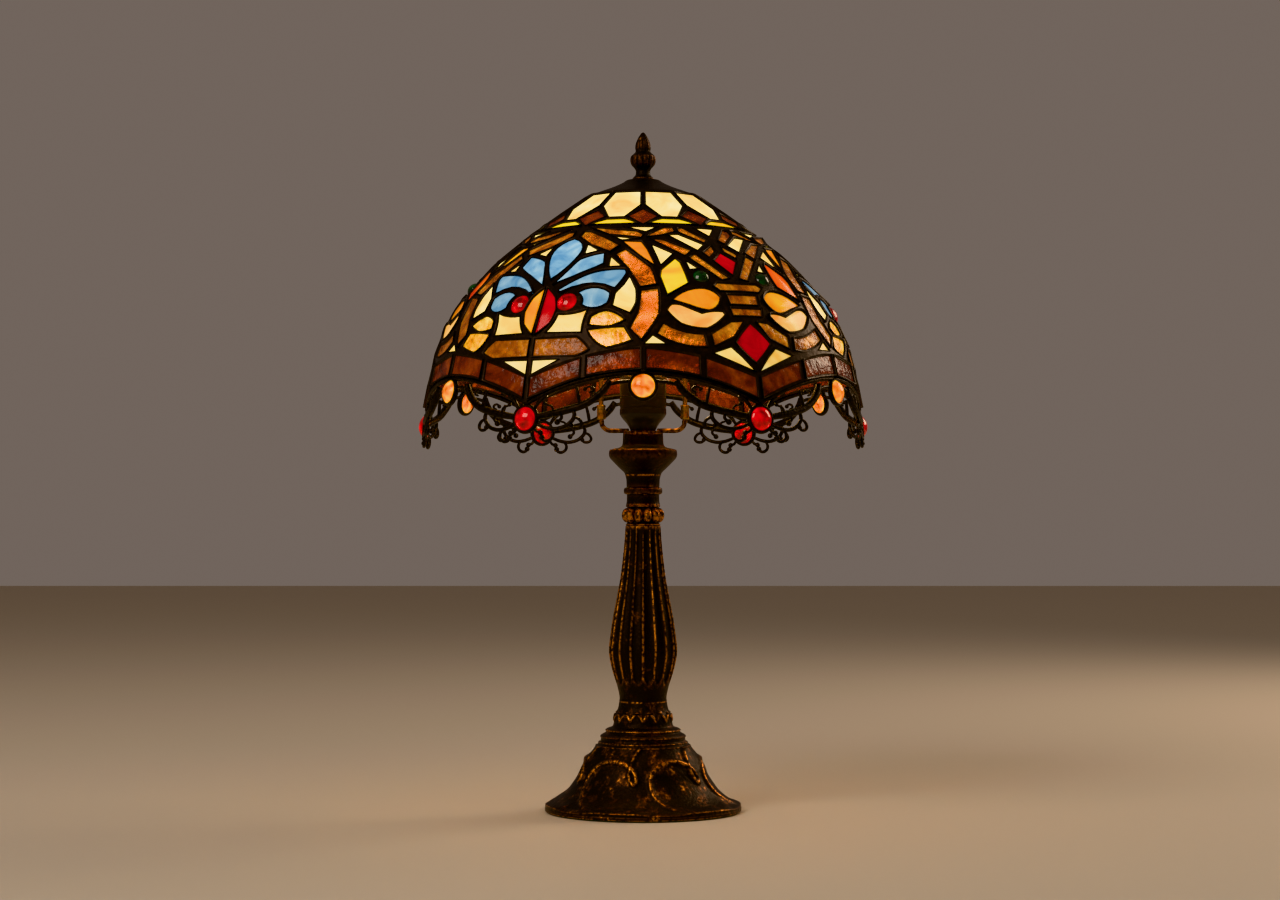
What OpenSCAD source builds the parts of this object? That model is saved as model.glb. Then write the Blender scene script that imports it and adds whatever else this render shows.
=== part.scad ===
// Stained glass table lamp: a scalloped dome of leaded glass with a cast openwork skirt, carried by a
// harp over one lamp socket, on a fluted metal column and a round footed base.
// Millimetres, +Z up, origin at the centre of the underside. Azimuth 0 faces -Y and grows towards +X.

/* [Dome of the shade] */
// Radius of the glass at the upper edge of the crown
crown_r = 36.4; // [34:0.2:39]
// Height of the upper edge of the crown above the drip collar
crown_rise = 166.2; // [144:0.2:194]
// Length of the dome from the crown edge down to the points of the scallops
dome_len = 212; // [190:2:240]
// Thickness of a pane of glass
glass_t = 2.8; // [2:0.1:3.4]
// Depth of the soldered came between the panes
came_t = 4.4; // [4.2:0.1:6]
// Radius of the small red jewels beside each leaf, on a dome of the standard length
fan_jewel_r = 7; // [5:0.1:7.2]
// Rise of a cabochon jewel above its rim
jewel_rise = 3.6; // [2:0.1:5]

/* [Filigree skirt] */
// Thickness of the skirt casting
skirt_t = 2.4; // [1.8:0.1:3.2]
// Width of a bar of the skirt casting, on a dome of the standard length
bar_w = 2.8; // [2:0.1:3.4]
// Radius of the skirt jewels, on a dome of the standard length
skirt_jewel_r = 7.6; // [6.4:0.1:8.2]
// Width of the rim of a bezel round its jewel, on a dome of the standard length
bezel_w = 2.2; // [1.6:0.1:2.6]
// Gap between a jewel and its bezel
jewel_gap = 0.1; // [0.05:0.01:0.2]

/* [Cap and finial] */
// Overall radius of the shade cap
cap_r = 37.1; // [37:0.1:40]
// Wall of the spun shade cap
cap_wall = 1.4; // [1:0.1:2]
// Height of the finial
finial_h = 34; // [26:0.5:42]
// Radius of the threaded stud on top of the harp
stud_r = 3.1; // [2.6:0.1:3.6]
// Radial gap round the stud in the cap, the washer and the finial
stud_gap = 0.3; // [0.1:0.05:0.6]

/* [Harp] */
// Radius of the harp wire
harp_wire_r = 1.6; // [1.2:0.1:1.8]
// Distance of each harp leg from the axis at the saddle
harp_leg_x = 29.6; // [26:0.2:34]
// Height above the drip collar of the lower end of the harp legs, where they meet the saddle posts
harp_joint_h = 14.8; // [11.8:0.1:19.8]
// Height of a harp ferrule
ferrule_h = 10; // [8:0.5:12]
// Radial gap between the ferrule and the wire
ferrule_gap = 0.15; // [0.1:0.05:0.3]

/* [Socket and bulb] */
// Outer radius of the lamp socket
socket_r = 16.4; // [16:0.1:18]
// Height of the socket above the drip collar
socket_h = 38; // [34:0.5:44]
// Radius of the screw base of the bulb
bulb_base_r = 13; // [13:0.05:13.3]
// Radius of the bulb
bulb_r = 30; // [22:0.5:32]
// Radial gap between the bulb's screw base and the socket's screw shell
screw_gap = 0.3; // [0.2:0.05:0.5]

/* [Stem] */
// Outer radius of the threaded tube
tube_r = 4.9; // [4.4:0.05:5.2]
// Bore radius of the threaded tube
tube_bore_r = 3.4; // [3:0.05:3.6]
// Radial gap round the tube in every piece threaded on it
tube_gap = 0.15; // [0.1:0.05:0.3]
// Height of the fluted column
column_h = 123.5; // [100:0.5:150]
// Height of the beaded ring
bead_ring_h = 15; // [12:0.5:18]
// Height of the neck
neck_h = 21; // [16:0.5:26]
// Height of the drip collar
collar_h = 29.5; // [27:0.5:36]

/* [Base] */
// Radius of the foot of the base
base_r = 69; // [60:0.5:80]
// Height of the base casting
base_h = 76; // [66:0.5:88]
// Wall of the base casting
base_wall = 3.6; // [3:0.1:5]
// Thickness of the felt pad
felt_t = 1.2; // [1:0.1:2]
// Thickness of the steel cover plate
plate_t = 2.5; // [1.5:0.1:3]
// Bore radius of the cord bushing
cord_bore_r = 3.5; // [3:0.1:4]

/* [Hidden] */
$fn = 72;
jewel_steps = 6; // bands of the domed face of a jewel
sectors = 3; // pairs of one fan motif and one diamond-cross motif
sector_a = 360 / sectors;
first_axis = -30; // azimuth of the first fan motif
clear = 0.2; // gap between pieces that only meet loosely
arc_steps = 5; // straight steps along a curved side of a pane
cut_t = 14; // depth of the cutters that open the came for the panes
std_len = 212; // dome length in which the outlines below are drawn

// Arcs of the dome from the crown down: [length at the standard size, slope at its end in degrees]
dome_slope = 33;
dome_arcs = [[60, 38], [50, 50], [50, 74.5], [52, 85]];
step = dome_len / std_len;

// Heights of the stack on the threaded tube
base_z = felt_t;
column_z = base_z + base_h;
bead_z = column_z + column_h;
neck_z = bead_z + bead_ring_h;
collar_z = neck_z + neck_h;
saddle_z = collar_z + collar_h;
saddle_t = 1.4;
socket_z = saddle_z + saddle_t;
harp_joint_z = saddle_z + harp_joint_h;
crown_z = saddle_z + crown_rise;
tube_hole_r = tube_r + tube_gap;

// Cap, washer, stud and harp top, measured down from the crown
cap_top_z = crown_z + 13;
cap_seat_z = cap_top_z - 3;
washer_t = 1.6;
washer_z = cap_seat_z - washer_t;
harp_top_z = washer_z - 6;
stud_hole_r = stud_r + stud_gap;

// ---- The surface of the dome ----

// [radius, height, slope] at the distance s down the dome
function dome(s, i = 0, a = dome_slope, r = crown_r, z = crown_z) =
  let (
    arc_len = dome_arcs[i][0] * step,
    b = dome_arcs[i][1],
    last = i == len(dome_arcs) - 1,
    here = last ? s : min(s, arc_len),
    bend_r = arc_len / (b - a) * 180 / PI,
    c = a + (b - a) * here / arc_len,
    r2 = r + bend_r * (sin(c) - sin(a)),
    z2 = z - bend_r * (cos(a) - cos(c))
  )
  last || s <= arc_len ? [r2, z2, c] : dome(s - arc_len, i + 1, b, r2, z2);

// A pattern point [azimuth, distance] laid on the plane that touches the dome at c, as [x, y, rise]
function flat(p, c) =
  let (
    d = dome(p[1] * step),
    o = dome(c[1] * step),
    x = d[0] * sin(p[0] - c[0]),
    out = d[0] * cos(p[0] - c[0]) - o[0],
    up = d[1] - o[1]
  )
  [x, up * sin(o[2]) - out * cos(o[2]), out * sin(o[2]) + up * cos(o[2])];

function sum(v, i = 0) = i == len(v) - 1 ? v[i] : v[i] + sum(v, i + 1);
function mean(v) = sum(v) / len(v);
function plain(p) = [p[0], p[1]];

// Points from a up to b, b left out. A bulge above 0 swells away from the middle m, below 0 is hollow
function side(a, b, bulge, m) =
  bulge == 0 ? [a] :
  let (
    half = norm(b - a) / 2,
    along = (b - a) / (2 * half),
    left = [-along[1], along[0]],
    mid = (a + b) / 2,
    out = left * (mid - m) >= 0 ? left : -left,
    turn = 2 * atan(abs(bulge)),
    r = half / sin(turn),
    way = bulge > 0 ? out : -out
  )
  [for (k = [0 : arc_steps - 1])
    let (t = turn * (2 * k / arc_steps - 1))
    mid + along * r * sin(t) + way * r * (cos(t) - cos(turn))];

// The middle of an outline whose rows are [azimuth, distance, bulge of the side that follows]
function middle(outline) = mean([for (p = outline) plain(p)]);

// The outline as a polygon on the plane that touches the dome at its middle
function pane_points(outline) =
  let (
    c = middle(outline),
    pts = [for (p = outline) plain(flat(p, c))],
    m = mean(pts),
    n = len(pts)
  )
  [for (i = [0 : n - 1]) each side(pts[i], pts[(i + 1) % n], outline[i][2], m)];

// How far the middle of the dome stands proud of the pane's corners, halved
function pane_set(outline) =
  let (c = middle(outline))
  mean([for (p = outline) flat(p, c)[2]]) / 2;

// Puts children on the dome at azimuth u and distance s, their z pointing outwards
module on_dome(u, s) {
  d = dome(s * step);
  rotate([0, 0, u]) translate([0, -d[0], d[1]]) rotate([d[2], 0, 0]) children();
}

// One flat pane, cut to its outline
module pane(outline, t) {
  c = middle(outline);
  on_dome(c[0], c[1])
    translate([0, 0, pane_set(outline) - t / 2])
      linear_extrude(t) polygon(pane_points(outline));
}

function mirrored(outline) = [for (p = outline) [-p[0], p[1], p[2]]];

// Panes that lie on both sides of a fan's axis
module paired(outlines, t) {
  for (outline = outlines) {
    pane(outline, t);
    pane(mirrored(outline), t);
  }
}

// Panes that lie once in a sector
module single(outlines, t) {
  for (outline = outlines) pane(outline, t);
}

// Repeats a sector's panes round the dome
module round_dome() {
  for (i = [0 : sectors - 1]) rotate([0, 0, first_axis + i * sector_a]) children();
}

// A round cabochon: a straight rim of height h under a domed face, its flat back at z = 0
module cabochon(r, h) {
  ball_r = (r * r + jewel_rise * jewel_rise) / (2 * jewel_rise);
  rim_a = asin(r / ball_r);
  face = [for (k = [0 : jewel_steps - 1])
    let (a = rim_a * (1 - k / jewel_steps))
    [ball_r * sin(a), h + jewel_rise - ball_r * (1 - cos(a))]];
  rotate_extrude() polygon(concat([[0, 0], [r, 0]], face, [[0, h + jewel_rise]]));
}

// ---- Outlines of the panes, [azimuth from the fan's axis, distance down the dome, bulge] ----

hexagon = [[2, 4, 0], [28, 4, 0], [28.3, 24, 0], [19.3, 39.7, 0], [10.7, 39.7, 0], [1.7, 24, 0]];
diamond = [[0, 29.3, 0], [8.4, 39.5, 0], [0, 49.6, 0], [-8.4, 39.5, 0]];
yellow_pane = [[2.4, 50.3, 0.08], [10.2, 42.3, 0], [19.8, 42.3, 0.08], [27.6, 50.3, 0]];

petal_middle = [[0, 67, 0.38], [6, 85, 0.12], [0, 109.5, 0.12], [-6, 85, 0.38]];
petals_side = [
  [[1.9, 114.6, 0], [9.5, 103.4, 0.04], [16.5, 95.1, 0], [15.9, 84.8, 0.1], [7.4, 90, 0.08], [5.4, 97.5, 0]],
  [[4.2, 120.8, 0.06], [11.2, 106.4, 0.12], [19.5, 101.3, 0.05], [24.2, 101.9, 0.25], [24.6, 106, 0.05],
    [21.6, 118, -0.3], [5.2, 121.4, 0]],
  [[10.9, 121.6, 0.38], [20.3, 122.3, 0.12], [19.8, 130.4, 0.38], [12.7, 131.3, -0.3]]
];
leaf_half = [[0.5, 117.5, 0.06], [3.7, 124.5, 0.06], [5, 135, 0.06], [4, 144.5, 0.04], [0.5, 152.6, 0]];
fan_jewel = [7.9, 128.9];
fan_ground = [
  [[7.8, 74.3, 0], [13.3, 81.6, 0], [8.3, 84.7, 0]],
  [[18.7, 88.8, 0], [22.8, 98.1, 0], [18.7, 98.2, 0]],
  [[6.2, 138.6, -0.12], [14.5, 135.8, -0.1], [13.5, 151.6, 0], [3.7, 151.4, -0.12]],
  [[25.9, 109, 0], [27.8, 119, 0.05], [27.9, 130, 0.05], [26.4, 138.4, 0], [21.6, 132.6, 0],
    [22, 122.6, 0], [24.3, 115.5, 0]],
  [[0.8, 170.3, 0], [8.2, 170.3, 0], [0.8, 179.6, 0]]
];
side_leaves = [
  [[15.6, 146.3, 0.05], [15.9, 141, 0.15], [19.9, 136.4, 0.15], [25, 143.2, 0.1], [20.6, 147.6, 0.05]],
  [[15.4, 150.8, 0.05], [25, 148.6, 0], [27, 157.4, 0.05], [20.6, 162.3, 0.2]]
];
ribbon_panes = [
  [[5.2, 55.8, 0], [27.4, 59.2, 0], [30, 63.6, 0], [29, 66.9, 0], [15.8, 62.6, 0]],
  [[2.5, 58.6, 0], [5.7, 58.5, 0], [12.7, 65.2, 0.03], [20.9, 77.2, 0], [18, 83.2, -0.03], [9.6, 74.4, 0],
    [2.2, 64.2, 0]],
  [[20.3, 86.2, 0], [23.4, 81.2, 0.03], [32.6, 99.8, 0.03], [34.1, 115.6, 0], [29.3, 117.6, 0],
    [25.5, 100.4, 0]],
  [[29.5, 121, 0], [34.4, 119.4, 0.06], [34.2, 139, 0.05], [29.5, 157.6, 0], [26.6, 149.8, 0],
    [28.6, 138, -0.03]],
  [[31.9, 66.6, 0], [33, 63, 0], [40, 54.2, 0], [43.9, 54.2, 0], [44.4, 59, 0], [38, 63.4, 0]],
  [[46.2, 55.5, 0], [48.5, 54.2, 0], [57, 69, 0], [55.2, 72, 0], [46.4, 60, 0]],
  [[33.2, 69.7, 0], [37.8, 69.4, 0], [48, 81.5, 0], [45.1, 86.8, 0]],
  [[46.5, 89.4, 0], [49, 85.2, 0], [58, 108.4, 0], [55.4, 109.7, 0]],
  [[52.8, 83.4, 0], [57.7, 75.4, 0], [57.8, 81.2, 0], [54.3, 87.6, 0]],
  [[35.3, 146, -0.15], [46, 153.5, 0], [46.6, 161.6, 0.18], [33.7, 153.2, 0]],
  [[48.2, 153.2, 0], [54.2, 144, 0], [57.8, 143.6, 0], [54.4, 154.2, 0], [48.6, 161, 0]],
  [[0.8, 156, 0], [12.6, 155.2, 0.1], [16, 163.6, 0.08], [12.4, 167.5, 0], [0.8, 167.5, 0]]
];
cross_diamond = [
  [[60, 82.7, 0], [64.5, 91.4, 0], [60, 105.3, 0], [55.5, 91.4, 0]],
  [[60, 144.8, 0.06], [65.2, 158.5, 0.06], [60, 171.6, 0.06], [54.8, 158.5, 0.06]]
];
cross_jewel = [48.6, 107.7];
cross_jewel_r = 5.6;
flame = [[41.2, 90.6, 0], [42.6, 94, 0.04], [43.8, 113.6, 0], [37, 124.6, 0], [35.5, 108, 0.05], [36, 101.5, 0]];
petal_orange = [[38.4, 128.4, 0.2], [47.2, 118.2, 0.3], [52.6, 125.5, 0.32], [48.6, 135.4, 0.1],
  [43, 131.4, 0]];
petal_peach = [[36.6, 136.5, 0.2], [38, 132, 0.1], [40.6, 132.2, 0], [46.3, 138.2, -0.12], [52.4, 137.2, 0],
  [52.8, 139.2, 0.12], [47.2, 148.8, 0.12], [40.2, 145.6, 0.08]];
cross_bar = [
  [[53, 113.4, 0], [67, 113.4, 0], [68.4, 116.4, 0], [66.8, 119.4, 0], [53.2, 119.4, 0], [51.6, 116.4, 0]],
  [[55, 123, 0], [65, 123, 0], [64.6, 130.2, 0], [55.4, 130.2, 0]],
  [[55, 133.8, 0], [65, 133.8, 0], [64.6, 138.8, 0], [55.4, 138.8, 0]]
];
cross_ground = [
  [[40.4, 64.2, 0], [45.3, 62.8, 0], [54.4, 74.5, 0], [50.8, 80.8, 0]],
  [[33.4, 75.8, 0], [40.8, 85, 0], [36, 96.6, 0]],
  [[44.9, 92.6, 0], [48.4, 100, 0], [45.5, 100.6, 0]],
  [[48.2, 166.2, 0], [53.2, 161.6, 0], [56, 168, 0], [59.2, 177.6, 0]],
  [[32.5, 154.3, 0], [35.8, 160, 0], [30.4, 160, 0]],
  [[17, 65.6, 0], [28, 69.3, 0], [21.5, 69.5, 0]],
  [[21.2, 54.2, 0], [36.8, 54.2, 0], [31.2, 59.4, 0]]
];
cross_ground_middle = [[54.9, 54.2, 0], [65.1, 54.2, 0], [60, 63.6, 0]];
amber_wedge = [[21.9, 72, 0], [29.3, 72, 0], [31.5, 80, 0], [33.9, 98.2, 0], [28.8, 86.6, 0]];

// Upper and lower edge of the scalloped border, at a part t of the way from an arch to a point
function border_top(t) = 163.5 + 19 * pow(t, 1.7);
function border_foot(t) = 176.5 + 19.5 * t * t;
arch_a = 30; // from a fan's axis to the next arch

// The four corners of a border pane and the points between, from t1 to t2
function border_pane(t1, t2) = [
  for (k = [0 : 4]) let (t = t1 + (t2 - t1) * k / 4) [arch_a * (1 - t), border_top(t), 0],
  for (k = [4 : -1 : 0]) let (t = t1 + (t2 - t1) * k / 4) [arch_a * (1 - t), border_foot(t), 0]
];
function past_arch(outline) = [for (p = outline) [2 * arch_a - p[0], p[1], p[2]]];
border_halves = [border_pane(0.022, 0.475), border_pane(0.53, 0.975)];
border_all = concat(border_halves, [for (b = border_halves) past_arch(b)]);

// ---- The glass, by kind, with its thickness so that the came can be cut to it ----

module hexagons_at(t) {
  for (i = [0 : 11]) rotate([0, 0, 30 * i]) pane(hexagon, t);
}
module diamonds_at(t) {
  for (i = [0 : 11]) rotate([0, 0, 30 * i]) pane(diamond, t);
}
module yellow_at(t) {
  for (i = [0 : 11]) rotate([0, 0, 30 * i]) pane(yellow_pane, t);
}
module petals_at(t) {
  single([petal_middle], t);
  paired(petals_side, t);
}
module leaves_at(t, way) {
  pane(way > 0 ? leaf_half : mirrored(leaf_half), t);
}
// The jewels of the dome, as [azimuth, distance, radius]
dome_jewels = [[fan_jewel[0], fan_jewel[1], fan_jewel_r * step],
  [cross_jewel[0], cross_jewel[1], cross_jewel_r * step]];
module jewels_of(jewel) {
  for (way = [-1, 1]) on_dome(way * jewel[0], jewel[1])
    translate([0, 0, -glass_t / 2]) cabochon(jewel[2], glass_t);
}
module jewel_holes() {
  for (way = [-1, 1]) for (jewel = dome_jewels)
    on_dome(way * jewel[0], jewel[1]) translate([0, 0, -cut_t / 2]) cylinder(h = cut_t, r = jewel[2]);
}

// Everything that pierces one sector of the came
module sector_cutters() {
  t = cut_t;
  petals_at(t);
  leaves_at(t, 1);
  leaves_at(t, -1);
  jewel_holes();
  paired(fan_ground, t);
  paired(side_leaves, t);
  paired(ribbon_panes, t);
  paired([flame, petal_orange, petal_peach, amber_wedge], t);
  paired(cross_ground, t);
  paired(border_all, t);
  for (way = [0, -sector_a]) rotate([0, 0, way]) {
    single(cross_diamond, t);
    single(cross_bar, t);
    single([cross_ground_middle], t);
  }
}

// A band of the dome between two distances, t thick, over an angle centred on the fan's axis
module dome_band(s1, s2, t, angle, steps = 12) {
  outer = [for (k = [0 : steps]) dome_skin(s1 + (s2 - s1) * k / steps, t / 2)];
  inner = [for (k = [steps : -1 : 0]) dome_skin(s1 + (s2 - s1) * k / steps, -t / 2)];
  rotate([0, 0, -90 - angle / 2]) rotate_extrude(angle = angle) polygon(concat(outer, inner));
}
// The dome's section at the distance s, moved out along its normal
function dome_skin(s, out) =
  let (d = dome(s * step))
  [d[0] + out * sin(d[2]), d[1] + out * cos(d[2])];

girdle_s = 51.8; // where the crown's came meets the body's came
rim_s = 198; // just below the points of the scallops
rim_w = 1.2; // width of the came below the border panes
seam_a = 0.6; // turn of the seams between the three parts of the came, off the tips of the diamonds

// A deep prism between the scalloped edge of the came under one arch and the distance far_s, square to
// the plane that touches the dome at arch_mid_s
arch_mid_s = 186;
below_s = 260;
above_s = 150;
module beside_scallop(far_s) {
  steps = 12;
  c = [0, arch_mid_s];
  edge = [for (k = [-steps : steps])
    let (t = abs(k) / steps) plain(flat([arch_a * k / steps, border_foot(t) + rim_w], c))];
  far = [plain(flat([arch_a, far_s], c)), plain(flat([-arch_a, far_s], c))];
  on_dome(0, c[1]) translate([0, 0, -40]) linear_extrude(60) polygon(concat(edge, far));
}

module body_came(i) {
  rotate([0, 0, first_axis + i * sector_a]) difference() {
    rotate([0, 0, seam_a]) dome_band(girdle_s, rim_s, came_t, sector_a);
    for (a = [-90, -30, 30, 90]) rotate([0, 0, a]) beside_scallop(below_s);
    sector_cutters();
  }
}

// ---- Glass nodes ----

module crown_hexagons() { color("cornsilk") hexagons_at(glass_t); }
module crown_diamonds() { color("saddlebrown") diamonds_at(glass_t); }
module crown_yellow_panes() { color("khaki") yellow_at(glass_t); }
module crown_came() {
  color("dimgray") difference() {
    dome_band(0, girdle_s, came_t, 360);
    hexagons_at(cut_t);
    diamonds_at(cut_t);
    yellow_at(cut_t);
  }
}
module fan_petals() { color("skyblue") round_dome() petals_at(glass_t); }
module fan_leaves_orange() { color("orange") round_dome() leaves_at(glass_t, -1); }
module fan_leaves_red() { color("firebrick") round_dome() leaves_at(glass_t, 1); }
module fan_jewels() { color("crimson") round_dome() jewels_of(dome_jewels[0]); }
module fan_grounds() { color("wheat") round_dome() paired(fan_ground, glass_t); }
module fan_side_leaves() { color("goldenrod") round_dome() paired(side_leaves, glass_t); }
module ribbons() { color("sienna") round_dome() paired(ribbon_panes, glass_t); }
module cross_diamonds() { color("red") round_dome() single(cross_diamond, glass_t); }
module cross_jewels() { color("darkgreen") round_dome() jewels_of(dome_jewels[1]); }
module cross_flames() { color("gold") round_dome() paired([flame], glass_t); }
module cross_petals_orange() { color("orange") round_dome() paired([petal_orange], glass_t); }
module cross_petals_peach() { color("peachpuff") round_dome() paired([petal_peach], glass_t); }
module cross_bars() { color("sienna") round_dome() single(cross_bar, glass_t); }
module cross_grounds() {
  color("wheat") round_dome() {
    paired(cross_ground, glass_t);
    single([cross_ground_middle], glass_t);
  }
}
module amber_wedges() { color("darkorange") round_dome() paired([amber_wedge], glass_t); }
module border_panes() { color("brown") round_dome() paired(border_all, glass_t); }
module came_front_left() { color("dimgray") body_came(0); }
module came_right() { color("dimgray") body_came(1); }
module came_rear_left() { color("dimgray") body_came(2); }

// ---- Filigree skirt ----

jewel_r = skirt_jewel_r * step;
bezel_r = jewel_r + jewel_gap + bezel_w * step;
bezel_h = 3.4;
arch_bezel_in = 2.08; // how far an arch bezel reaches up into the rail
point_bezel_in = 0.88; // how far a point bezel does
rail_w = 1.1; // width of the rail, in bars
rail_cut = 0.3; // taken off the back of the rail so that it fits along the came
rail_drop = rim_w - rail_cut + rail_w * bar_w / 2;
rail_foot = rail_drop + rail_w * bar_w / 2;
arch_s = border_foot(0) + rail_foot + (bezel_r - arch_bezel_in) / step;
point_s = border_foot(1) + rail_foot + (bezel_r - point_bezel_in) / step;
skirt_top_s = 170;
skirt_low_s = 232;
skirt_gap_a = 0.6; // gap between neighbouring castings

// One side of the openwork, as strokes of [azimuth from the point, distance] with their widths
skirt_strokes = [
  [1, [[2.6, 202], [5.5, 193.5]]],
  [1.15, [[3.4, 207.5], [8, 205], [12, 203], [15.5, 200], [18, 196], [20.3, 190.5], [21.8, 184.5]]],
  [0.9, [[13.5, 189.5], [14.4, 201]]],
  [0.9, [[27, 184.8], [20.8, 187.6]]],
  [1, [[12.4, 202.5], [12.9, 207], [12, 212], [9.5, 215.3], [6.5, 215.4], [3, 212.5]]],
  [0.8, [[8.4, 204.5], [9.6, 208], [8.9, 211.2]]],
  [0.9, [[6.9, 215.2], [7.5, 219.6], [6.6, 223], [4.9, 222.2]]],
  [0.8, [[2.6, 215], [4.1, 218]]]
];
// Ball ends of the strokes: [azimuth, distance, radius]
skirt_balls = [[8.7, 211.4, 1.9], [4.7, 221.6, 1.9], [4.3, 218, 1.8]];

// Both edges of a stroke of width w through flat points
function turn_left(v) = [-v[1], v[0]] / norm(v);
function stroke_normal(p, i) =
  let (a = p[max(i - 1, 0)], b = p[min(i + 1, len(p) - 1)])
  turn_left(b - a);
function stroke_outline(p, w) = concat(
  [for (i = [0 : len(p) - 1]) p[i] + stroke_normal(p, i) * w / 2],
  [for (i = [len(p) - 1 : -1 : 0]) p[i] - stroke_normal(p, i) * w / 2]
);

module skirt_half() {
  c = [14, 200];
  rail = [for (k = [0 : 10]) let (t = 1 - k / 10) [arch_a * (1 - t), border_foot(t) + rail_drop]];
  on_dome(c[0], c[1]) translate([0, 0, -15]) {
    for (stroke = concat(skirt_strokes, [[rail_w, rail]]))
      linear_extrude(30)
        polygon(stroke_outline([for (p = stroke[1]) plain(flat(p, c))], stroke[0] * bar_w * step));
  }
}
module bezel_at(u, s) {
  on_dome(u, s) difference() {
    translate([0, 0, -bezel_h / 2]) cylinder(h = bezel_h, r = bezel_r);
    translate([0, 0, -bezel_h]) cylinder(h = 2 * bezel_h, r = jewel_r + jewel_gap);
  }
}
module skirt_casting() {
  difference() {
    union() {
      intersection() {
        dome_band(skirt_top_s, skirt_low_s, skirt_t, 2 * arch_a - skirt_gap_a, 10);
        union() {
          skirt_half();
          mirror([1, 0, 0]) skirt_half();
        }
      }
      for (way = [-1, 1]) for (b = skirt_balls)
        on_dome(way * b[0], b[1]) sphere(b[2] * step, $fn = 24);
      on_dome(0, point_s) translate([0, 0, -bezel_h / 2]) cylinder(h = bezel_h, r = bezel_r);
    }
    for (way = [-1, 1]) rotate([0, 0, way * arch_a]) beside_scallop(above_s);
    on_dome(0, point_s) translate([0, 0, -2 * bezel_h])
      cylinder(h = 4 * bezel_h, r = jewel_r + jewel_gap);
    for (way = [-1, 1]) on_dome(way * arch_a, arch_s) translate([0, 0, -2 * bezel_h])
      cylinder(h = 4 * bezel_h, r = bezel_r + 0.05);
  }
}
module round_skirt(offset_a) {
  for (i = [0 : 5]) rotate([0, 0, first_axis + offset_a + 60 * i]) children();
}
module skirt_jewel(s) {
  on_dome(0, s) translate([0, 0, -bezel_h / 2]) cabochon(jewel_r, bezel_h);
}
module filigree_skirt() { color("darkslategray") round_skirt(0) skirt_casting(); }
module arch_bezels() { color("darkslategray") round_skirt(arch_a) bezel_at(0, arch_s); }
module point_jewels() { color("crimson") round_skirt(0) skirt_jewel(point_s); }
module arch_jewels() { color("darkorange") round_skirt(arch_a) skirt_jewel(arch_s); }

// ---- Cap, washer and finial ----

finial_z = cap_top_z + clear;
cap_seat_r = 10.5;

module finial() {
  h = finial_h;
  color("saddlebrown") translate([0, 0, finial_z]) difference() {
    rotate_extrude() polygon([
      [0, 0], [7.4, 0], [7.4, 0.04 * h], [5.4, 0.1 * h], [5.2, 0.2 * h], [6.2, 0.27 * h],
      [8.6, 0.33 * h], [9.2, 0.4 * h], [8.8, 0.48 * h], [7, 0.53 * h], [5.6, 0.58 * h],
      [5.7, 0.68 * h], [5, 0.78 * h], [3.6, 0.87 * h], [2.5, 0.93 * h], [1.2, 0.98 * h], [0, h]
    ]);
    translate([0, 0, -1]) cylinder(h = stud_up + 1 + clear, r = stud_hole_r);
  }
}

module shade_cap() {
  drop = cap_top_z - crown_z;
  color("saddlebrown") translate([0, 0, cap_top_z]) difference() {
    rotate_extrude() polygon([
      [0, 0], [cap_seat_r, 0], [0.39 * cap_r, -0.16 * drop], [0.5 * cap_r, -0.32 * drop],
      [0.64 * cap_r, -0.49 * drop], [0.81 * cap_r, -0.66 * drop], [0.95 * cap_r, -0.82 * drop],
      [cap_r, -0.95 * drop], [cap_r, -1.1 * drop], [cap_r - cap_wall, -1.1 * drop],
      [cap_r - cap_wall, -0.98 * drop], [0.93 * cap_r, -0.95 * drop], [0.8 * cap_r, -0.8 * drop],
      [0.63 * cap_r, -0.63 * drop], [0.5 * cap_r, -0.47 * drop], [cap_seat_r, -3], [0, -3]
    ]);
    translate([0, 0, -10]) cylinder(h = 20, r = stud_hole_r);
    translate([0, 0, -cap_top_z]) dome_band(0, girdle_s, came_t, 360);
  }
}

// The disc between the harp top and the cap; the shade turns on it
module cap_washer() {
  color("peru") translate([0, 0, washer_z]) difference() {
    cylinder(h = washer_t - clear, r = cap_seat_r - 1);
    translate([0, 0, -1]) cylinder(h = washer_t + 2, r = stud_hole_r);
  }
}

// The flat ring inside the crown to which glass and cap are soldered
module crown_ring() {
  ring_h = 4;
  ring_t = 1.6;
  ring_r = crown_r - came_t / 2 * sin(dome_slope) - 0.6;
  color("goldenrod") translate([0, 0, crown_z - ring_h]) difference() {
    cylinder(h = ring_h, r = ring_r);
    translate([0, 0, -1]) cylinder(h = ring_h + 2, r = ring_r - ring_t);
  }
}

// ---- Harp ----

stud_up = 9; // length of the stud above the cap
boss_r = 6;
stud_fit = 0.05; // gap round the stud in the harp's boss

// Arcs of the bow above its straight foot: outwards, inwards, and the shoulder
bow_out_r = 60;
bow_out_a = 22;
bow_in_r = 110;
bow_in_a = 25;
shoulder_r = 28;
bow_rise = bow_out_r * sin(bow_out_a) + bow_in_r * (sin(bow_out_a) + sin(bow_in_a))
  + shoulder_r * (1 - sin(bow_in_a));
bow_z = harp_top_z - bow_rise;

// Points of an arc about [cx, cz], from angle a1 to a2
function arc_points(cx, cz, r, a1, a2, steps) =
  [for (k = [1 : steps]) let (a = a1 + (a2 - a1) * k / steps) [cx + r * cos(a), cz + r * sin(a)]];

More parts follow.
